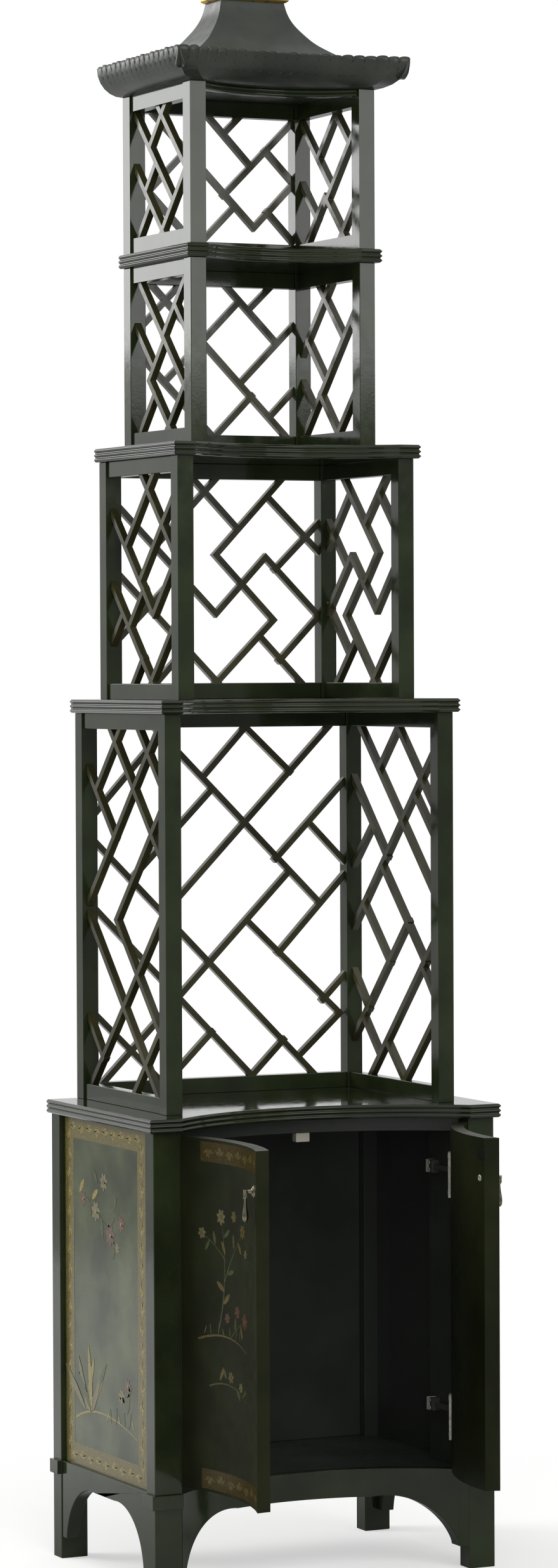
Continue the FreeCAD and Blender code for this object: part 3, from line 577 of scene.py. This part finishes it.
# The slope from rim to neck, as shares of its run and rise; cutting its corners twice rounds it
sweep = [(1.0, 0.0), (0.80, 0.06), (0.60, 0.16), (0.42, 0.30), (0.29, 0.41), (0.19, 0.54),
         (0.09, 0.69), (0.03, 0.84), (0.0, 1.0)]
for smoothing in range(2):
    cut = [sweep[0]]
    for (run_a, rise_a), (run_b, rise_b) in zip(sweep, sweep[1:]):
        cut.append((0.75 * run_a + 0.25 * run_b, 0.75 * rise_a + 0.25 * rise_b))
        cut.append((0.25 * run_a + 0.75 * run_b, 0.25 * rise_a + 0.75 * rise_b))
    sweep = cut + [sweep[-1]]
roof = bmesh.new()
corners = bmesh.ops.create_grid(roof, x_segments=1, y_segments=1, size=1)["verts"]
crown = corners[0].link_faces[0]
for step, (run, rise) in enumerate(sweep):
    if step:
        raised = bmesh.ops.extrude_face_region(roof, geom=[crown], use_keep_orig=step == 1)["geom"]
        crown = of_kind(raised, bmesh.types.BMFace)[0]
    half_x = neck_half_x + run * (roof_high.x - neck_half_x)
    front = neck_y - neck_half_y + run * (roof_low.y - neck_y + neck_half_y)
    back = neck_y + neck_half_y + run * (roof_high.y - neck_y - neck_half_y)
    for vert in crown.verts:
        to_right, to_back = vert.co.x > 0, vert.co.y > (neck_y if step else 0)
        vert.co = (half_x if to_right else -half_x, back if to_back else front,
                   roof_low.z + rise * (roof_high.z - roof_low.z))
roof_piece = finish_piece("swept_roof", roof, [eave_lacquer], "carcass")
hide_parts("hipped_roof")

# Gilt cap and finial
# A moulded cap on the neck of the roof with a turned finial dowelled into it, both water gilded:
# gold leaf over red clay. The leaf has a soft gold shine, and is red-brown where it is rubbed thin.
cap_arris = 0.0014
gold_leaf, gilt_tree, gilt_place = new_material("water_gilding")
# Leaf rubs through to the clay in spots about 12 mm across, and its creases lie about 2 mm apart
rub_spot, crease_gap = 0.012, 0.002
rub, leaf_colour = patchy_colour(gilt_tree, gilt_place, rub_spot, "#C7A659", "#7A4A2A",
                                 detail=5.0, low=0.58, high=0.72)
leaf_rough = add_node(gilt_tree, "ShaderNodeMapRange",
                      {"Value": rub, "From Min": 0.3, "From Max": 0.7,
                       "To Min": 0.28, "To Max": 0.45})
creases = fine_relief(gilt_tree, gilt_place, crease_gap, detail=2.0, strength=0.2, depth=0.0002)
leaf_shader = add_node(gilt_tree, "ShaderNodeBsdfPrincipled",
                       {"Base Color": leaf_colour, "Metallic": 0.85,
                        "Roughness": leaf_rough.outputs[0], "Normal": creases})
add_node(gilt_tree, "ShaderNodeOutputMaterial", {"Surface": leaf_shader.outputs[0]})
dress(["gilt_cap"], gold_leaf, cap_arris, segments=3)


def turn_piece(mesh, profile, place, steps):
    """Turns a profile of radius and level pairs, as on a lathe, and puts it in its place."""
    join_reach = 0.000001
    before = set(mesh.verts)
    points = [mesh.verts.new((radius, 0, level)) for radius, level in profile]
    lines = [mesh.edges.new(pair) for pair in zip(points, points[1:])]
    bmesh.ops.spin(mesh, geom=points + lines, cent=(0, 0, 0), axis=(0, 0, 1), angle=2 * math.pi,
                   steps=steps, use_merge=True)
    fresh = [vert for vert in mesh.verts if vert not in before]
    bmesh.ops.remove_doubles(mesh, verts=fresh, dist=join_reach)
    fresh = [vert for vert in mesh.verts if vert not in before]
    bmesh.ops.transform(mesh, matrix=place, verts=fresh)


finial_low, finial_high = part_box("finial")
finial_foot = ((finial_low.x + finial_high.x) / 2, (finial_low.y + finial_high.y) / 2, finial_low.z)
finial_tall = finial_high.z - finial_low.z
finial_profile = [(0.0, 0.0), (0.0130, 0.0), (0.0130, 0.0030), (0.0118, 0.0050), (0.0075, 0.0075),
                  (0.0054, 0.0110), (0.0050, 0.0150), (0.0058, 0.0185), (0.0085, 0.0225),
                  (0.0122, 0.0275), (0.0140, 0.0325), (0.0138, 0.0375), (0.0118, 0.0425),
                  (0.0082, 0.0470), (0.0050, 0.0515), (0.0030, 0.0565), (0.0017, 0.0615),
                  (0.0, finial_tall)]
finial = bmesh.new()
turn_piece(finial, finial_profile, Matrix.Translation(finial_foot), steps=40)
finial_piece = finish_piece("turned_finial", finial, [gold_leaf], "carcass", rounded=True)
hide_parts("finial")

# Doors
# Two doors bent to the hollow front, lacquered like the panels, with a gilt scroll painted along
# top and bottom and a flower spray between. They hang open on concealed hinges.
door_names = ["left_door", "right_door"]
door_arris = 0.0008
# The doors' varnish has gone matt, a deep olive black with hardly a reflection
door_lacquer = lacquered_wood("door_lacquer", "#171A0D", "#212413", 0.30, 0.42, shine=0.11)
dress(door_names, door_lacquer, door_arris)
# Their paints are browner, dimmer copies of the panels': painted shade for the doors' faces
door_paints_in_painted_shade = [lacquer_paint("ground_in_painted_shade", "#2B240E", "#3A3015", shine=0.2),
               lacquer_paint("gold_in_painted_shade", "#3F371B", "#524827", shine=0.2),
               lacquer_paint("cream_in_painted_shade", "#46412B", "#5A553B", shine=0.2),
               lacquer_paint("red_in_painted_shade", "#3A261D", "#4B342A", shine=0.2),
               lacquer_paint("green_in_painted_shade", "#2A2F19", "#3C4124", shine=0.25)]
front_hollow = 0.088
opening_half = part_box("front_right_post")[0].x
hollow_radius = (opening_half ** 2 + front_hollow ** 2) / (2 * front_hollow)
joints = {joint["name"]: joint for joint in frame["joints"]}
hinge_x, hinge_y = joints["right_door_hinge"]["pos_m"][:2]
hollow_centre = hinge_y - math.sqrt(hollow_radius ** 2 - hinge_x ** 2)
free_edge = 0.001
hinge_angle = math.asin(hinge_x / hollow_radius)
free_angle = math.asin(free_edge / hollow_radius)
door_span = hollow_radius * (hinge_angle - free_angle)


def door_swing(door_name):
    """The turn about the hinge line that takes a shut door to where it stands open."""
    joint = joints[door_name + "_hinge"]
    shut_to_open = math.radians(-joint["range_deg"][0] * joint["axis"][2])
    pivot = Vector((*joint["pos_m"][:2], 0))
    return (Matrix.Translation(pivot) @ Matrix.Rotation(shut_to_open, 4, "Z")
            @ Matrix.Translation(-pivot))


def bend_to_door(art, door_name, base_z):
    """Lays flat work, its u from left to right, on the hollow face of a door as it stands open."""
    start = -hinge_angle if door_name == "left_door" else free_angle
    swing = door_swing(door_name)
    for vert in art.verts:
        u, v, lift = vert.co
        angle = start + u / hollow_radius
        radius = hollow_radius - lift
        vert.co = swing @ Vector((radius * math.sin(angle),
                                  hollow_centre + radius * math.cos(angle), base_z + v))


# Bands along top and bottom, up to the free edge and short of the hinge edge
# The plain dark lacquer left at the hinge edge is partly painted shade, for the shade by the post
band_height, band_margin, band_steps = 0.028, 0.004, 24
band_from_hinge, band_from_free, scroll_end_gap = 0.041, 0.002, 0.004
band_run = door_span - band_from_hinge - band_from_free
band_shift = (band_from_hinge - band_from_free) / 2
scroll_half = band_run / 2 - scroll_end_gap
# A spray of small pale flowers over a group of red ones on a thin bank; mirrored on the right door
door_stems = (((0.084, 0.232), (0.112, 0.300), (0.093, 0.384), 0.0026, LEAF),
              ((0.100, 0.300), (0.124, 0.345), (0.158, 0.372), 0.0022, LEAF),
              ((0.103, 0.330), (0.077, 0.350), (0.047, 0.362), 0.0018, LEAF),
              ((0.035, 0.214), (0.103, 0.236), (0.176, 0.208), 0.0028, GOLD),
              ((0.120, 0.224), (0.141, 0.245), (0.166, 0.250), 0.0018, LEAF),
              ((0.060, 0.150), (0.112, 0.168), (0.173, 0.140), 0.0020, LEAF))
door_flowers = ((0.091, 0.390, 0.024, 7, PALE, GOLD), (0.161, 0.376, 0.022, 7, GOLD, RED),
                (0.129, 0.394, 0.018, 6, GOLD, PALE), (0.044, 0.364, 0.018, 6, PALE, GOLD),
                (0.173, 0.346, 0.014, 6, PALE, GOLD), (0.169, 0.252, 0.026, 7, RED, PALE),
                (0.140, 0.262, 0.020, 6, RED, GOLD), (0.108, 0.250, 0.016, 6, RED, GOLD),
                (0.118, 0.168, 0.018, 6, GOLD, RED), (0.152, 0.158, 0.015, 6, PALE, GOLD))
door_leaves = ((0.096, 0.268, 40, 0.026), (0.101, 0.286, 150, 0.026), (0.106, 0.312, 15, 0.024),
               (0.103, 0.338, 120, 0.022), (0.098, 0.362, 35, 0.022), (0.129, 0.348, 95, 0.022),
               (0.142, 0.360, -50, 0.022), (0.076, 0.350, 105, 0.020), (0.062, 0.356, 235, 0.020),
               (0.151, 0.246, -70, 0.022), (0.132, 0.234, 85, 0.020), (0.086, 0.160, 60, 0.022),
               (0.105, 0.164, 125, 0.020), (0.134, 0.156, -45, 0.024), (0.159, 0.146, 35, 0.020))
door_leaf_share = 0.32
door_grass = (0.048, 0.222, 0.017, 0.014, 0.003, 0.0024)
for door_name in door_names:
    low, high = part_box(door_name)
    left = door_name == "left_door"
    art = bmesh.new()
    band_middle = door_span / 2 + (band_shift if left else -band_shift)
    for band_v in (band_margin + band_height / 2, high.z - low.z - band_margin - band_height / 2):
        band = flat_sheet(art, (band_middle, band_v), band_run, band_height, band_steps)
        raise_faces(art, band, ground_coat, GROUND)
        brush_scroll(art, (band_middle - scroll_half, band_v), (band_middle + scroll_half, band_v))
    brush_spray(art, door_stems, door_flowers, door_leaves, door_leaf_share, door_grass,
                mirror=None if left else door_span)
    bend_to_door(art, door_name, low.z)
    finish_piece(door_name + "_painting", art, door_paints_in_painted_shade, door_name)

# Concealed hinges and magnetic catch
# Cast zinc, nickel plated: cups with a flange let into the doors, arms on blocks screwed to the
# battens, and a pale moulded catch under the frieze with a small blackened strike on the door.
cup_names = ["left_hinge_cups", "right_hinge_cups"]
arm_names = ["left_hinge_arms", "right_hinge_arms"]
hinge_arris, catch_arris = 0.0006, 0.001


def plated_metal(name, bright, dull, metallic, rough_low, rough_high):
    """Plated metal: bright with dull handling marks and fine random scratches."""
    material, tree, place = new_material(name)
    # Handling marks about 8 mm across, and scratches about 1.5 mm apart
    mark_size, scratch_gap = 0.008, 0.0015
    marks, colour = patchy_colour(tree, place, mark_size, bright, dull, detail=4.0,
                                  low=0.4, high=0.7)
    rough = add_node(tree, "ShaderNodeMapRange",
                     {"Value": marks, "From Min": 0.3, "From Max": 0.7,
                      "To Min": rough_low, "To Max": rough_high})
    scratches = fine_relief(tree, place, scratch_gap, detail=2.0, strength=0.1, depth=0.0001)
    shader = add_node(tree, "ShaderNodeBsdfPrincipled",
                      {"Base Color": colour, "Metallic": metallic, "Roughness": rough.outputs[0],
                       "Normal": scratches})
    add_node(tree, "ShaderNodeOutputMaterial", {"Surface": shader.outputs[0]})
    return material


# Handled nickel plate is a warm pale grey, shiny in patches; the oiled black of the strike is dim
nickel = plated_metal("nickel_plated_zinc", "#BDBBB2", "#96938A", 0.6, 0.30, 0.46)
dress(cup_names, nickel, hinge_arris)
blackened = plated_metal("blackened_steel", "#2A2A28", "#1E1E1C", 0.7, 0.35, 0.5)
dress(["right_strike"], blackened)
# The arms are a dull mid grey, tarnish and painted shade, bar the clips at the back of their blocks
arm_steel_painted_light, arm_tree, arm_place = new_material("steel_in_painted_shade_and_highlight")
clip_depth, clip_blur = 0.010, 0.0005
clip_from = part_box("left_hinge_arms")[1].y - clip_depth
arm_depth = add_node(arm_tree, "ShaderNodeSeparateXYZ", {"Vector": arm_place})
clip_painted_highlight_mask = add_node(arm_tree, "ShaderNodeMapRange",
                {"Value": arm_depth.outputs["Y"], "From Min": clip_from - clip_blur,
                 "From Max": clip_from + clip_blur})
# Spots of tarnish about 6 mm across
tarnish_spot = 0.006
tarnish, arm_tarnish_and_painted_shade = patchy_colour(arm_tree, arm_place, tarnish_spot, "#4A4A46", "#63625C",
                                  detail=3.0)
# Those clips are painted near white, a painted highlight
arm_tone_with_painted_highlight = add_node(arm_tree, "ShaderNodeMix",
                     {SHARE: clip_painted_highlight_mask.outputs[0], COLOUR_A: arm_tarnish_and_painted_shade, COLOUR_B: srgb("#F0EEE6")},
                     data_type="RGBA")
arm_rough = add_node(arm_tree, "ShaderNodeMapRange",
                     {"Value": tarnish, "From Min": 0.3, "From Max": 0.7,
                      "To Min": 0.34, "To Max": 0.52})
arm_shader = add_node(arm_tree, "ShaderNodeBsdfPrincipled",
                      {"Base Color": arm_tone_with_painted_highlight.outputs[MIXED_COLOUR], "Metallic": 0.6,
                       "Roughness": arm_rough.outputs[0]})
add_node(arm_tree, "ShaderNodeOutputMaterial", {"Surface": arm_shader.outputs[0]})
dress(arm_names, arm_steel_painted_light, hinge_arris)
# Moulded plastic gone ivory, pale and waxy with no sharp highlight
catch_plastic = lacquered_wood("ivory_catch_moulding", "#8E8B7E", "#A19E90", 0.35, 0.50)
dress(["magnetic_catch"], catch_plastic, catch_arris)

door_thickness, flange_thickness, flange_half = 0.019, 0.004, 0.033
cup_from_edge, pull_from_edge = 0.023, 0.022
flange_screw, pull_screw, block_screw = 0.0042, 0.0048, 0.0031
flange_screw_off, block_screw_off, block_screw_from_end = 0.0265, 0.0055, 0.010
inner_radius = hollow_radius + door_thickness
cup_angle = math.asin(hinge_x / inner_radius) - cup_from_edge / inner_radius
pull_angle = free_angle + pull_from_edge / hollow_radius
cups_low, cups_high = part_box("left_hinge_cups")
hinge_levels = [cups_low.z + flange_half, cups_high.z - flange_half]
pull_level = joints["left_pull_swing"]["pos_m"][2]


def screw_head(mesh, radius, place):
    """A low domed head with a socket, sunk a hair into what it holds."""
    profile = [(0, 0.0003), (0.34, 0.0003), (0.42, 0.0011), (0.72, 0.0010), (0.92, 0.0006),
               (1, 0), (1, -0.0003)]
    turn_piece(mesh, [(share * radius, level) for share, level in profile], place, steps=20)


def inside_place(door_name, angle, lift, level):
    """A place on a door's inner face, its Z out of the face and its Y up."""
    side = -1 if door_name == "left_door" else 1
    normal = Vector((side * math.sin(angle), math.cos(angle), 0))
    spot = normal * (inner_radius + lift) + Vector((0, hollow_centre, level))
    upright = Vector((0, 0, 1))
    lay = Matrix((upright.cross(normal), upright, normal)).transposed().to_4x4()
    return door_swing(door_name) @ Matrix.Translation(spot) @ lay


for door_name in door_names:
    screws = bmesh.new()
    for level in hinge_levels:
        for off in (-flange_screw_off, flange_screw_off):
            screw_head(screws, flange_screw,
                       inside_place(door_name, cup_angle, flange_thickness, level + off))
    # The pull is held from inside by a larger screw
    screw_head(screws, pull_screw, inside_place(door_name, pull_angle, 0.0, pull_level))
    finish_piece(door_name + "_screws", screws, [nickel], door_name, rounded=True)
block_screws = bmesh.new()
for side, arm_name in ((-1, "left_hinge_arms"), (1, "right_hinge_arms")):
    low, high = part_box(arm_name)
    face_x = high.x if side < 0 else low.x
    off_block = Matrix.Rotation(math.radians(-90 * side), 4, "Y")
    for level in hinge_levels:
        for off in (-block_screw_off, block_screw_off):
            spot = Vector((face_x, high.y - block_screw_from_end, level + off))
            screw_head(block_screws, block_screw, Matrix.Translation(spot) @ off_block)
finish_piece("block_screws", block_screws, [nickel], "carcass", rounded=True)

# Pear-drop pulls
# Silvered brass: a turned rosette on the door with a neck and an eye, and a slim pear drop that
# hangs in a fork on the pin through that eye. The silver is worn, grey with a warm yellow cast.
silvered_brass = plated_metal("silvered_brass", "#A39D8B", "#766E5A", 1.0, 0.22, 0.38)
eye_standoff = 0.012
pull_sharp_bend = math.radians(40)
rosette_profile = [(0, 0), (0.0090, 0), (0.0090, 0.0008), (0.0086, 0.0014), (0.0076, 0.0016),
                   (0.0070, 0.0021), (0.0066, 0.0027), (0.0052, 0.0030), (0.0041, 0.0036),
                   (0.0034, 0.0048), (0.0032, 0.0064), (0.0029, 0.0078), (0.0022, 0.0092),
                   (0, 0.0094)]
eye_profile = [(0.0013, -0.0012), (0.0013, 0.0012), (0.0018, 0.0015), (0.0024, 0.0014),
               (0.0028, 0.0009), (0.0028, -0.0009), (0.0024, -0.0014), (0.0018, -0.0015),
               (0.0013, -0.0012)]
pin_profile = [(0, -0.0042), (0.0012, -0.0040), (0.0017, -0.0035), (0.0012, -0.0034),
               (0.0012, 0.0034), (0.0017, 0.0035), (0.0012, 0.0040), (0, 0.0042)]
pear_profile = [(0, -0.0420), (0.0010, -0.0419), (0.0023, -0.0413), (0.0033, -0.0400),
                (0.0040, -0.0378), (0.0044, -0.0345), (0.0042, -0.0308), (0.0036, -0.0266),
                (0.0028, -0.0218), (0.0022, -0.0170), (0.0018, -0.0124), (0.0018, -0.0100),
                (0.0028, -0.0094), (0.0030, -0.0086), (0.0026, -0.0078), (0, -0.0076)]
fork_half, fork_gap_half, fork_deep, fork_top, fork_foot = 0.0035, 0.0017, 0.0025, 0.0025, -0.0070
bridge_top, bridge_foot = -0.0050, -0.0080
fork_arris = 0.0006
along_pin = Matrix.Rotation(math.radians(90), 4, "Y")
off_door = Matrix.Translation((0, -eye_standoff, 0)) @ Matrix.Rotation(math.radians(-90), 4, "X")


def forged_bar(mesh, low, high):
    """A small square bar between two corners, its edges eased."""
    bar = bmesh.ops.create_cube(mesh, size=1)["verts"]
    low, high = Vector(low), Vector(high)
    bmesh.ops.transform(mesh, matrix=Matrix.Translation((low + high) / 2)
                        @ Matrix.Diagonal((*(high - low), 1)), verts=bar)
    edges = list(dict.fromkeys(edge for vert in bar for edge in vert.link_edges))
    bmesh.ops.bevel(mesh, geom=edges, offset=fork_arris, affect="EDGES", segments=2, profile=0.5,
                    material=-1)


for side in ("left", "right"):
    swing_joint = joints[side + "_pull_swing"]
    pin_way = Vector(swing_joint["axis"]).normalized()
    upright = Vector((0, 0, 1))
    pull_place = (Matrix.Translation(swing_joint["pos_m"])
                  @ Matrix((pin_way, upright.cross(pin_way), upright)).transposed().to_4x4())
    rosette = bmesh.new()
    turn_piece(rosette, rosette_profile, off_door, steps=36)
    turn_piece(rosette, eye_profile, along_pin, steps=24)
    bmesh.ops.transform(rosette, matrix=pull_place, verts=rosette.verts)
    rosette_piece = finish_piece(side + "_turned_rosette", rosette, [silvered_brass],
                                 side + "_door", rounded=True)
    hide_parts(side + "_pull_rosette")
    drop = bmesh.new()
    turn_piece(drop, pear_profile, Matrix.Identity(4), steps=32)
    turn_piece(drop, pin_profile, along_pin, steps=20)
    for low_x, high_x in ((-fork_half, -fork_gap_half), (fork_gap_half, fork_half)):
        forged_bar(drop, (low_x, -fork_deep, fork_foot), (high_x, fork_deep, fork_top))
    forged_bar(drop, (-fork_half, -fork_deep, bridge_foot), (fork_half, fork_deep, bridge_top))
    bmesh.ops.transform(drop, matrix=pull_place, verts=drop.verts)
    drop_piece = finish_piece(side + "_turned_drop", drop, [silvered_brass],
                              side + "_pull_drop", rounded=True)
    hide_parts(side + "_pull_drop")
    for piece in (rosette_piece, drop_piece):
        piece.data.set_sharp_from_angle(angle=pull_sharp_bend)

# Floor, light and camera
# A pale floor that fades into a white room, soft light from the left and front, and the camera
# where the photograph was taken.
scene = bpy.context.scene
scene.view_settings.view_transform = "Standard"

floor_radius = 4.0
floor_mesh = bmesh.new()
bmesh.ops.create_circle(floor_mesh, cap_ends=True, segments=96, radius=floor_radius)
floor_data = bpy.data.meshes.new("floor")
floor_mesh.to_mesh(floor_data)
floor_mesh.free()
floor = put_in_scene("floor", floor_data)
# Matt paper has no highlight. Near the object it is half white of its own, so that the shadow on
# it is faint, and further out it is all white
floor_paper, floor_tree, floor_place = new_material("white_paper")
rays = add_node(floor_tree, "ShaderNodeLightPath")
from_middle = add_node(floor_tree, "ShaderNodeVectorMath", {0: floor_place}, operation="LENGTH")
fade = add_node(floor_tree, "ShaderNodeMapRange",
                {"Value": from_middle.outputs["Value"], "From Min": 0.45, "From Max": 1.3,
                 "To Min": 0.5, "To Max": 1.0})
floor_way = add_node(floor_tree, "ShaderNodeSeparateXYZ", {"Vector": floor_place})
behind_object = add_node(floor_tree, "ShaderNodeMapRange",
                         {"Value": floor_way.outputs["Y"], "From Min": 0.3, "From Max": 1.2,
                          "To Min": 0.15, "To Max": 1.0})
in_gloss = add_node(floor_tree, "ShaderNodeMath",
                    {0: behind_object.outputs[0], 1: rays.outputs["Is Glossy Ray"]},
                    operation="MULTIPLY")
looked_at = add_node(floor_tree, "ShaderNodeMath",
                     {0: rays.outputs["Is Camera Ray"], 1: in_gloss.outputs[0]},
                     operation="MAXIMUM")
seen = add_node(floor_tree, "ShaderNodeMath", {0: fade.outputs[0], 1: looked_at.outputs[0]},
                operation="MULTIPLY")
paper_tone = add_node(floor_tree, "ShaderNodeMix",
                      {SHARE: rays.outputs["Is Camera Ray"], COLOUR_A: srgb("#A0A09E"),
                       COLOUR_B: srgb("#FAFAF8")}, data_type="RGBA")
paper = add_node(floor_tree, "ShaderNodeBsdfDiffuse", {"Color": paper_tone.outputs[MIXED_COLOUR]})
white = add_node(floor_tree, "ShaderNodeEmission", {"Color": (1, 1, 1, 1), "Strength": 1.0})
floor_mix = add_node(floor_tree, "ShaderNodeMixShader",
                     {0: seen.outputs[0], 1: paper.outputs[0], 2: white.outputs[0]})
add_node(floor_tree, "ShaderNodeOutputMaterial", {"Surface": floor_mix.outputs[0]})
floor_data.materials.append(floor_paper)

world = bpy.data.worlds.new("white_room")
scene.world = world
world.use_nodes = True
room = world.node_tree
room.nodes.clear()
room_rays = add_node(room, "ShaderNodeLightPath")
room_way = add_node(room, "ShaderNodeSeparateXYZ",
                    {"Vector": add_node(room, "ShaderNodeTexCoord").outputs["Generated"]})
# In the gloss the room is white behind, most of all to the left and above eye level, and dim in
# front. Each wall is a share of white that changes between two places along an axis
walls = {}
for wall, axis, start, end, low_share, high_share in (("behind", "Y", 0.55, 0.85, 0.0, 1.0),
                                                      ("to_left", "X", 0.15, -0.2, 0.9, 1.0),
                                                      ("above_eye", "Z", -0.03, 0.08, 0.5, 1.0),
                                                      ("overhead", "Z", 0.3, 0.6, 0.25, 0.65)):
    walls[wall] = add_node(room, "ShaderNodeMapRange",
                           {"Value": room_way.outputs[axis], "From Min": start, "From Max": end,
                            "To Min": low_share, "To Max": high_share}).outputs[0]
back_wall = add_node(room, "ShaderNodeMath", {0: walls["to_left"], 1: walls["above_eye"]},
                     operation="MULTIPLY")
white_wall = add_node(room, "ShaderNodeMath", {0: walls["behind"], 1: back_wall.outputs[0]},
                      operation="MULTIPLY")
glossy_room = add_node(room, "ShaderNodeMath", {0: white_wall.outputs[0], 1: walls["overhead"]},
                       operation="MAXIMUM")
room_light = add_node(room, "ShaderNodeMix",
                      {SHARE: room_rays.outputs["Is Glossy Ray"], NUMBER_A: 0.45,
                       NUMBER_B: glossy_room.outputs[0]})
clear = add_node(room, "ShaderNodeMath",
                 {0: room_rays.outputs["Is Camera Ray"],
                  1: room_rays.outputs["Is Transmission Ray"]}, operation="MAXIMUM")
strength = add_node(room, "ShaderNodeMix",
                    {SHARE: clear.outputs[0], NUMBER_A: room_light.outputs[MIXED_NUMBER],
                     NUMBER_B: 1.0})
backdrop = add_node(room, "ShaderNodeBackground",
                    {"Color": (1, 1, 1, 1), "Strength": strength.outputs[MIXED_NUMBER]})
add_node(room, "ShaderNodeOutputWorld", {"Surface": backdrop.outputs[0]})

# Two soft boxes show in the gloss of the upper tiers; the other lamps only light the surfaces
lamp_target = Vector((0, 0, 1.3))
for name, spot, size, power, shows in (("front_box", (1.65, -3.7, 2.9), 2.0, 32.0, True),
                                       ("back_box", (-2.0, 3.8, 2.98), 2.0, 36.0, True),
                                       ("side_window", (-3.6, 2.2, 2.4), 2.0, 150.0, False),
                                       ("top_light", (-0.6, -3.2, 4.6), 3.0, 120.0, False),
                                       ("low_fill", (-1.8, -5.0, 1.3), 2.4, 75.0, False)):
    lamp = bpy.data.lights.new(name, "AREA")
    lamp.size = size
    lamp.energy = power
    holder = put_in_scene(name, lamp)
    holder.location = spot
    holder.rotation_euler = (lamp_target - Vector(spot)).to_track_quat("-Z", "Y").to_euler()
    holder.visible_camera = False
    holder.visible_glossy = shows

# The camera's place and turn were fitted to the straight edges of the photographed cabinet
camera_x, camera_from_back, camera_z = -3.011, 6.5779, 1.3142
camera_turn, camera_tilt, camera_roll = -25.337, 88.606, -0.25
camera = bpy.data.cameras.new("camera")
camera.lens = 110.8
camera.sensor_width = 36.0
camera.clip_end = 100.0
camera_holder = put_in_scene("camera", camera)
camera_way = (Matrix.Rotation(math.radians(camera_turn), 3, "Z")
              @ Matrix.Rotation(math.radians(camera_tilt), 3, "X")
              @ Matrix.Rotation(math.radians(camera_roll), 3, "Z"))
camera_holder.location = (camera_x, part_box("back_left_post")[1].y - camera_from_back, camera_z)
camera_holder.rotation_euler = camera_way.to_euler()
scene.camera = camera_holder
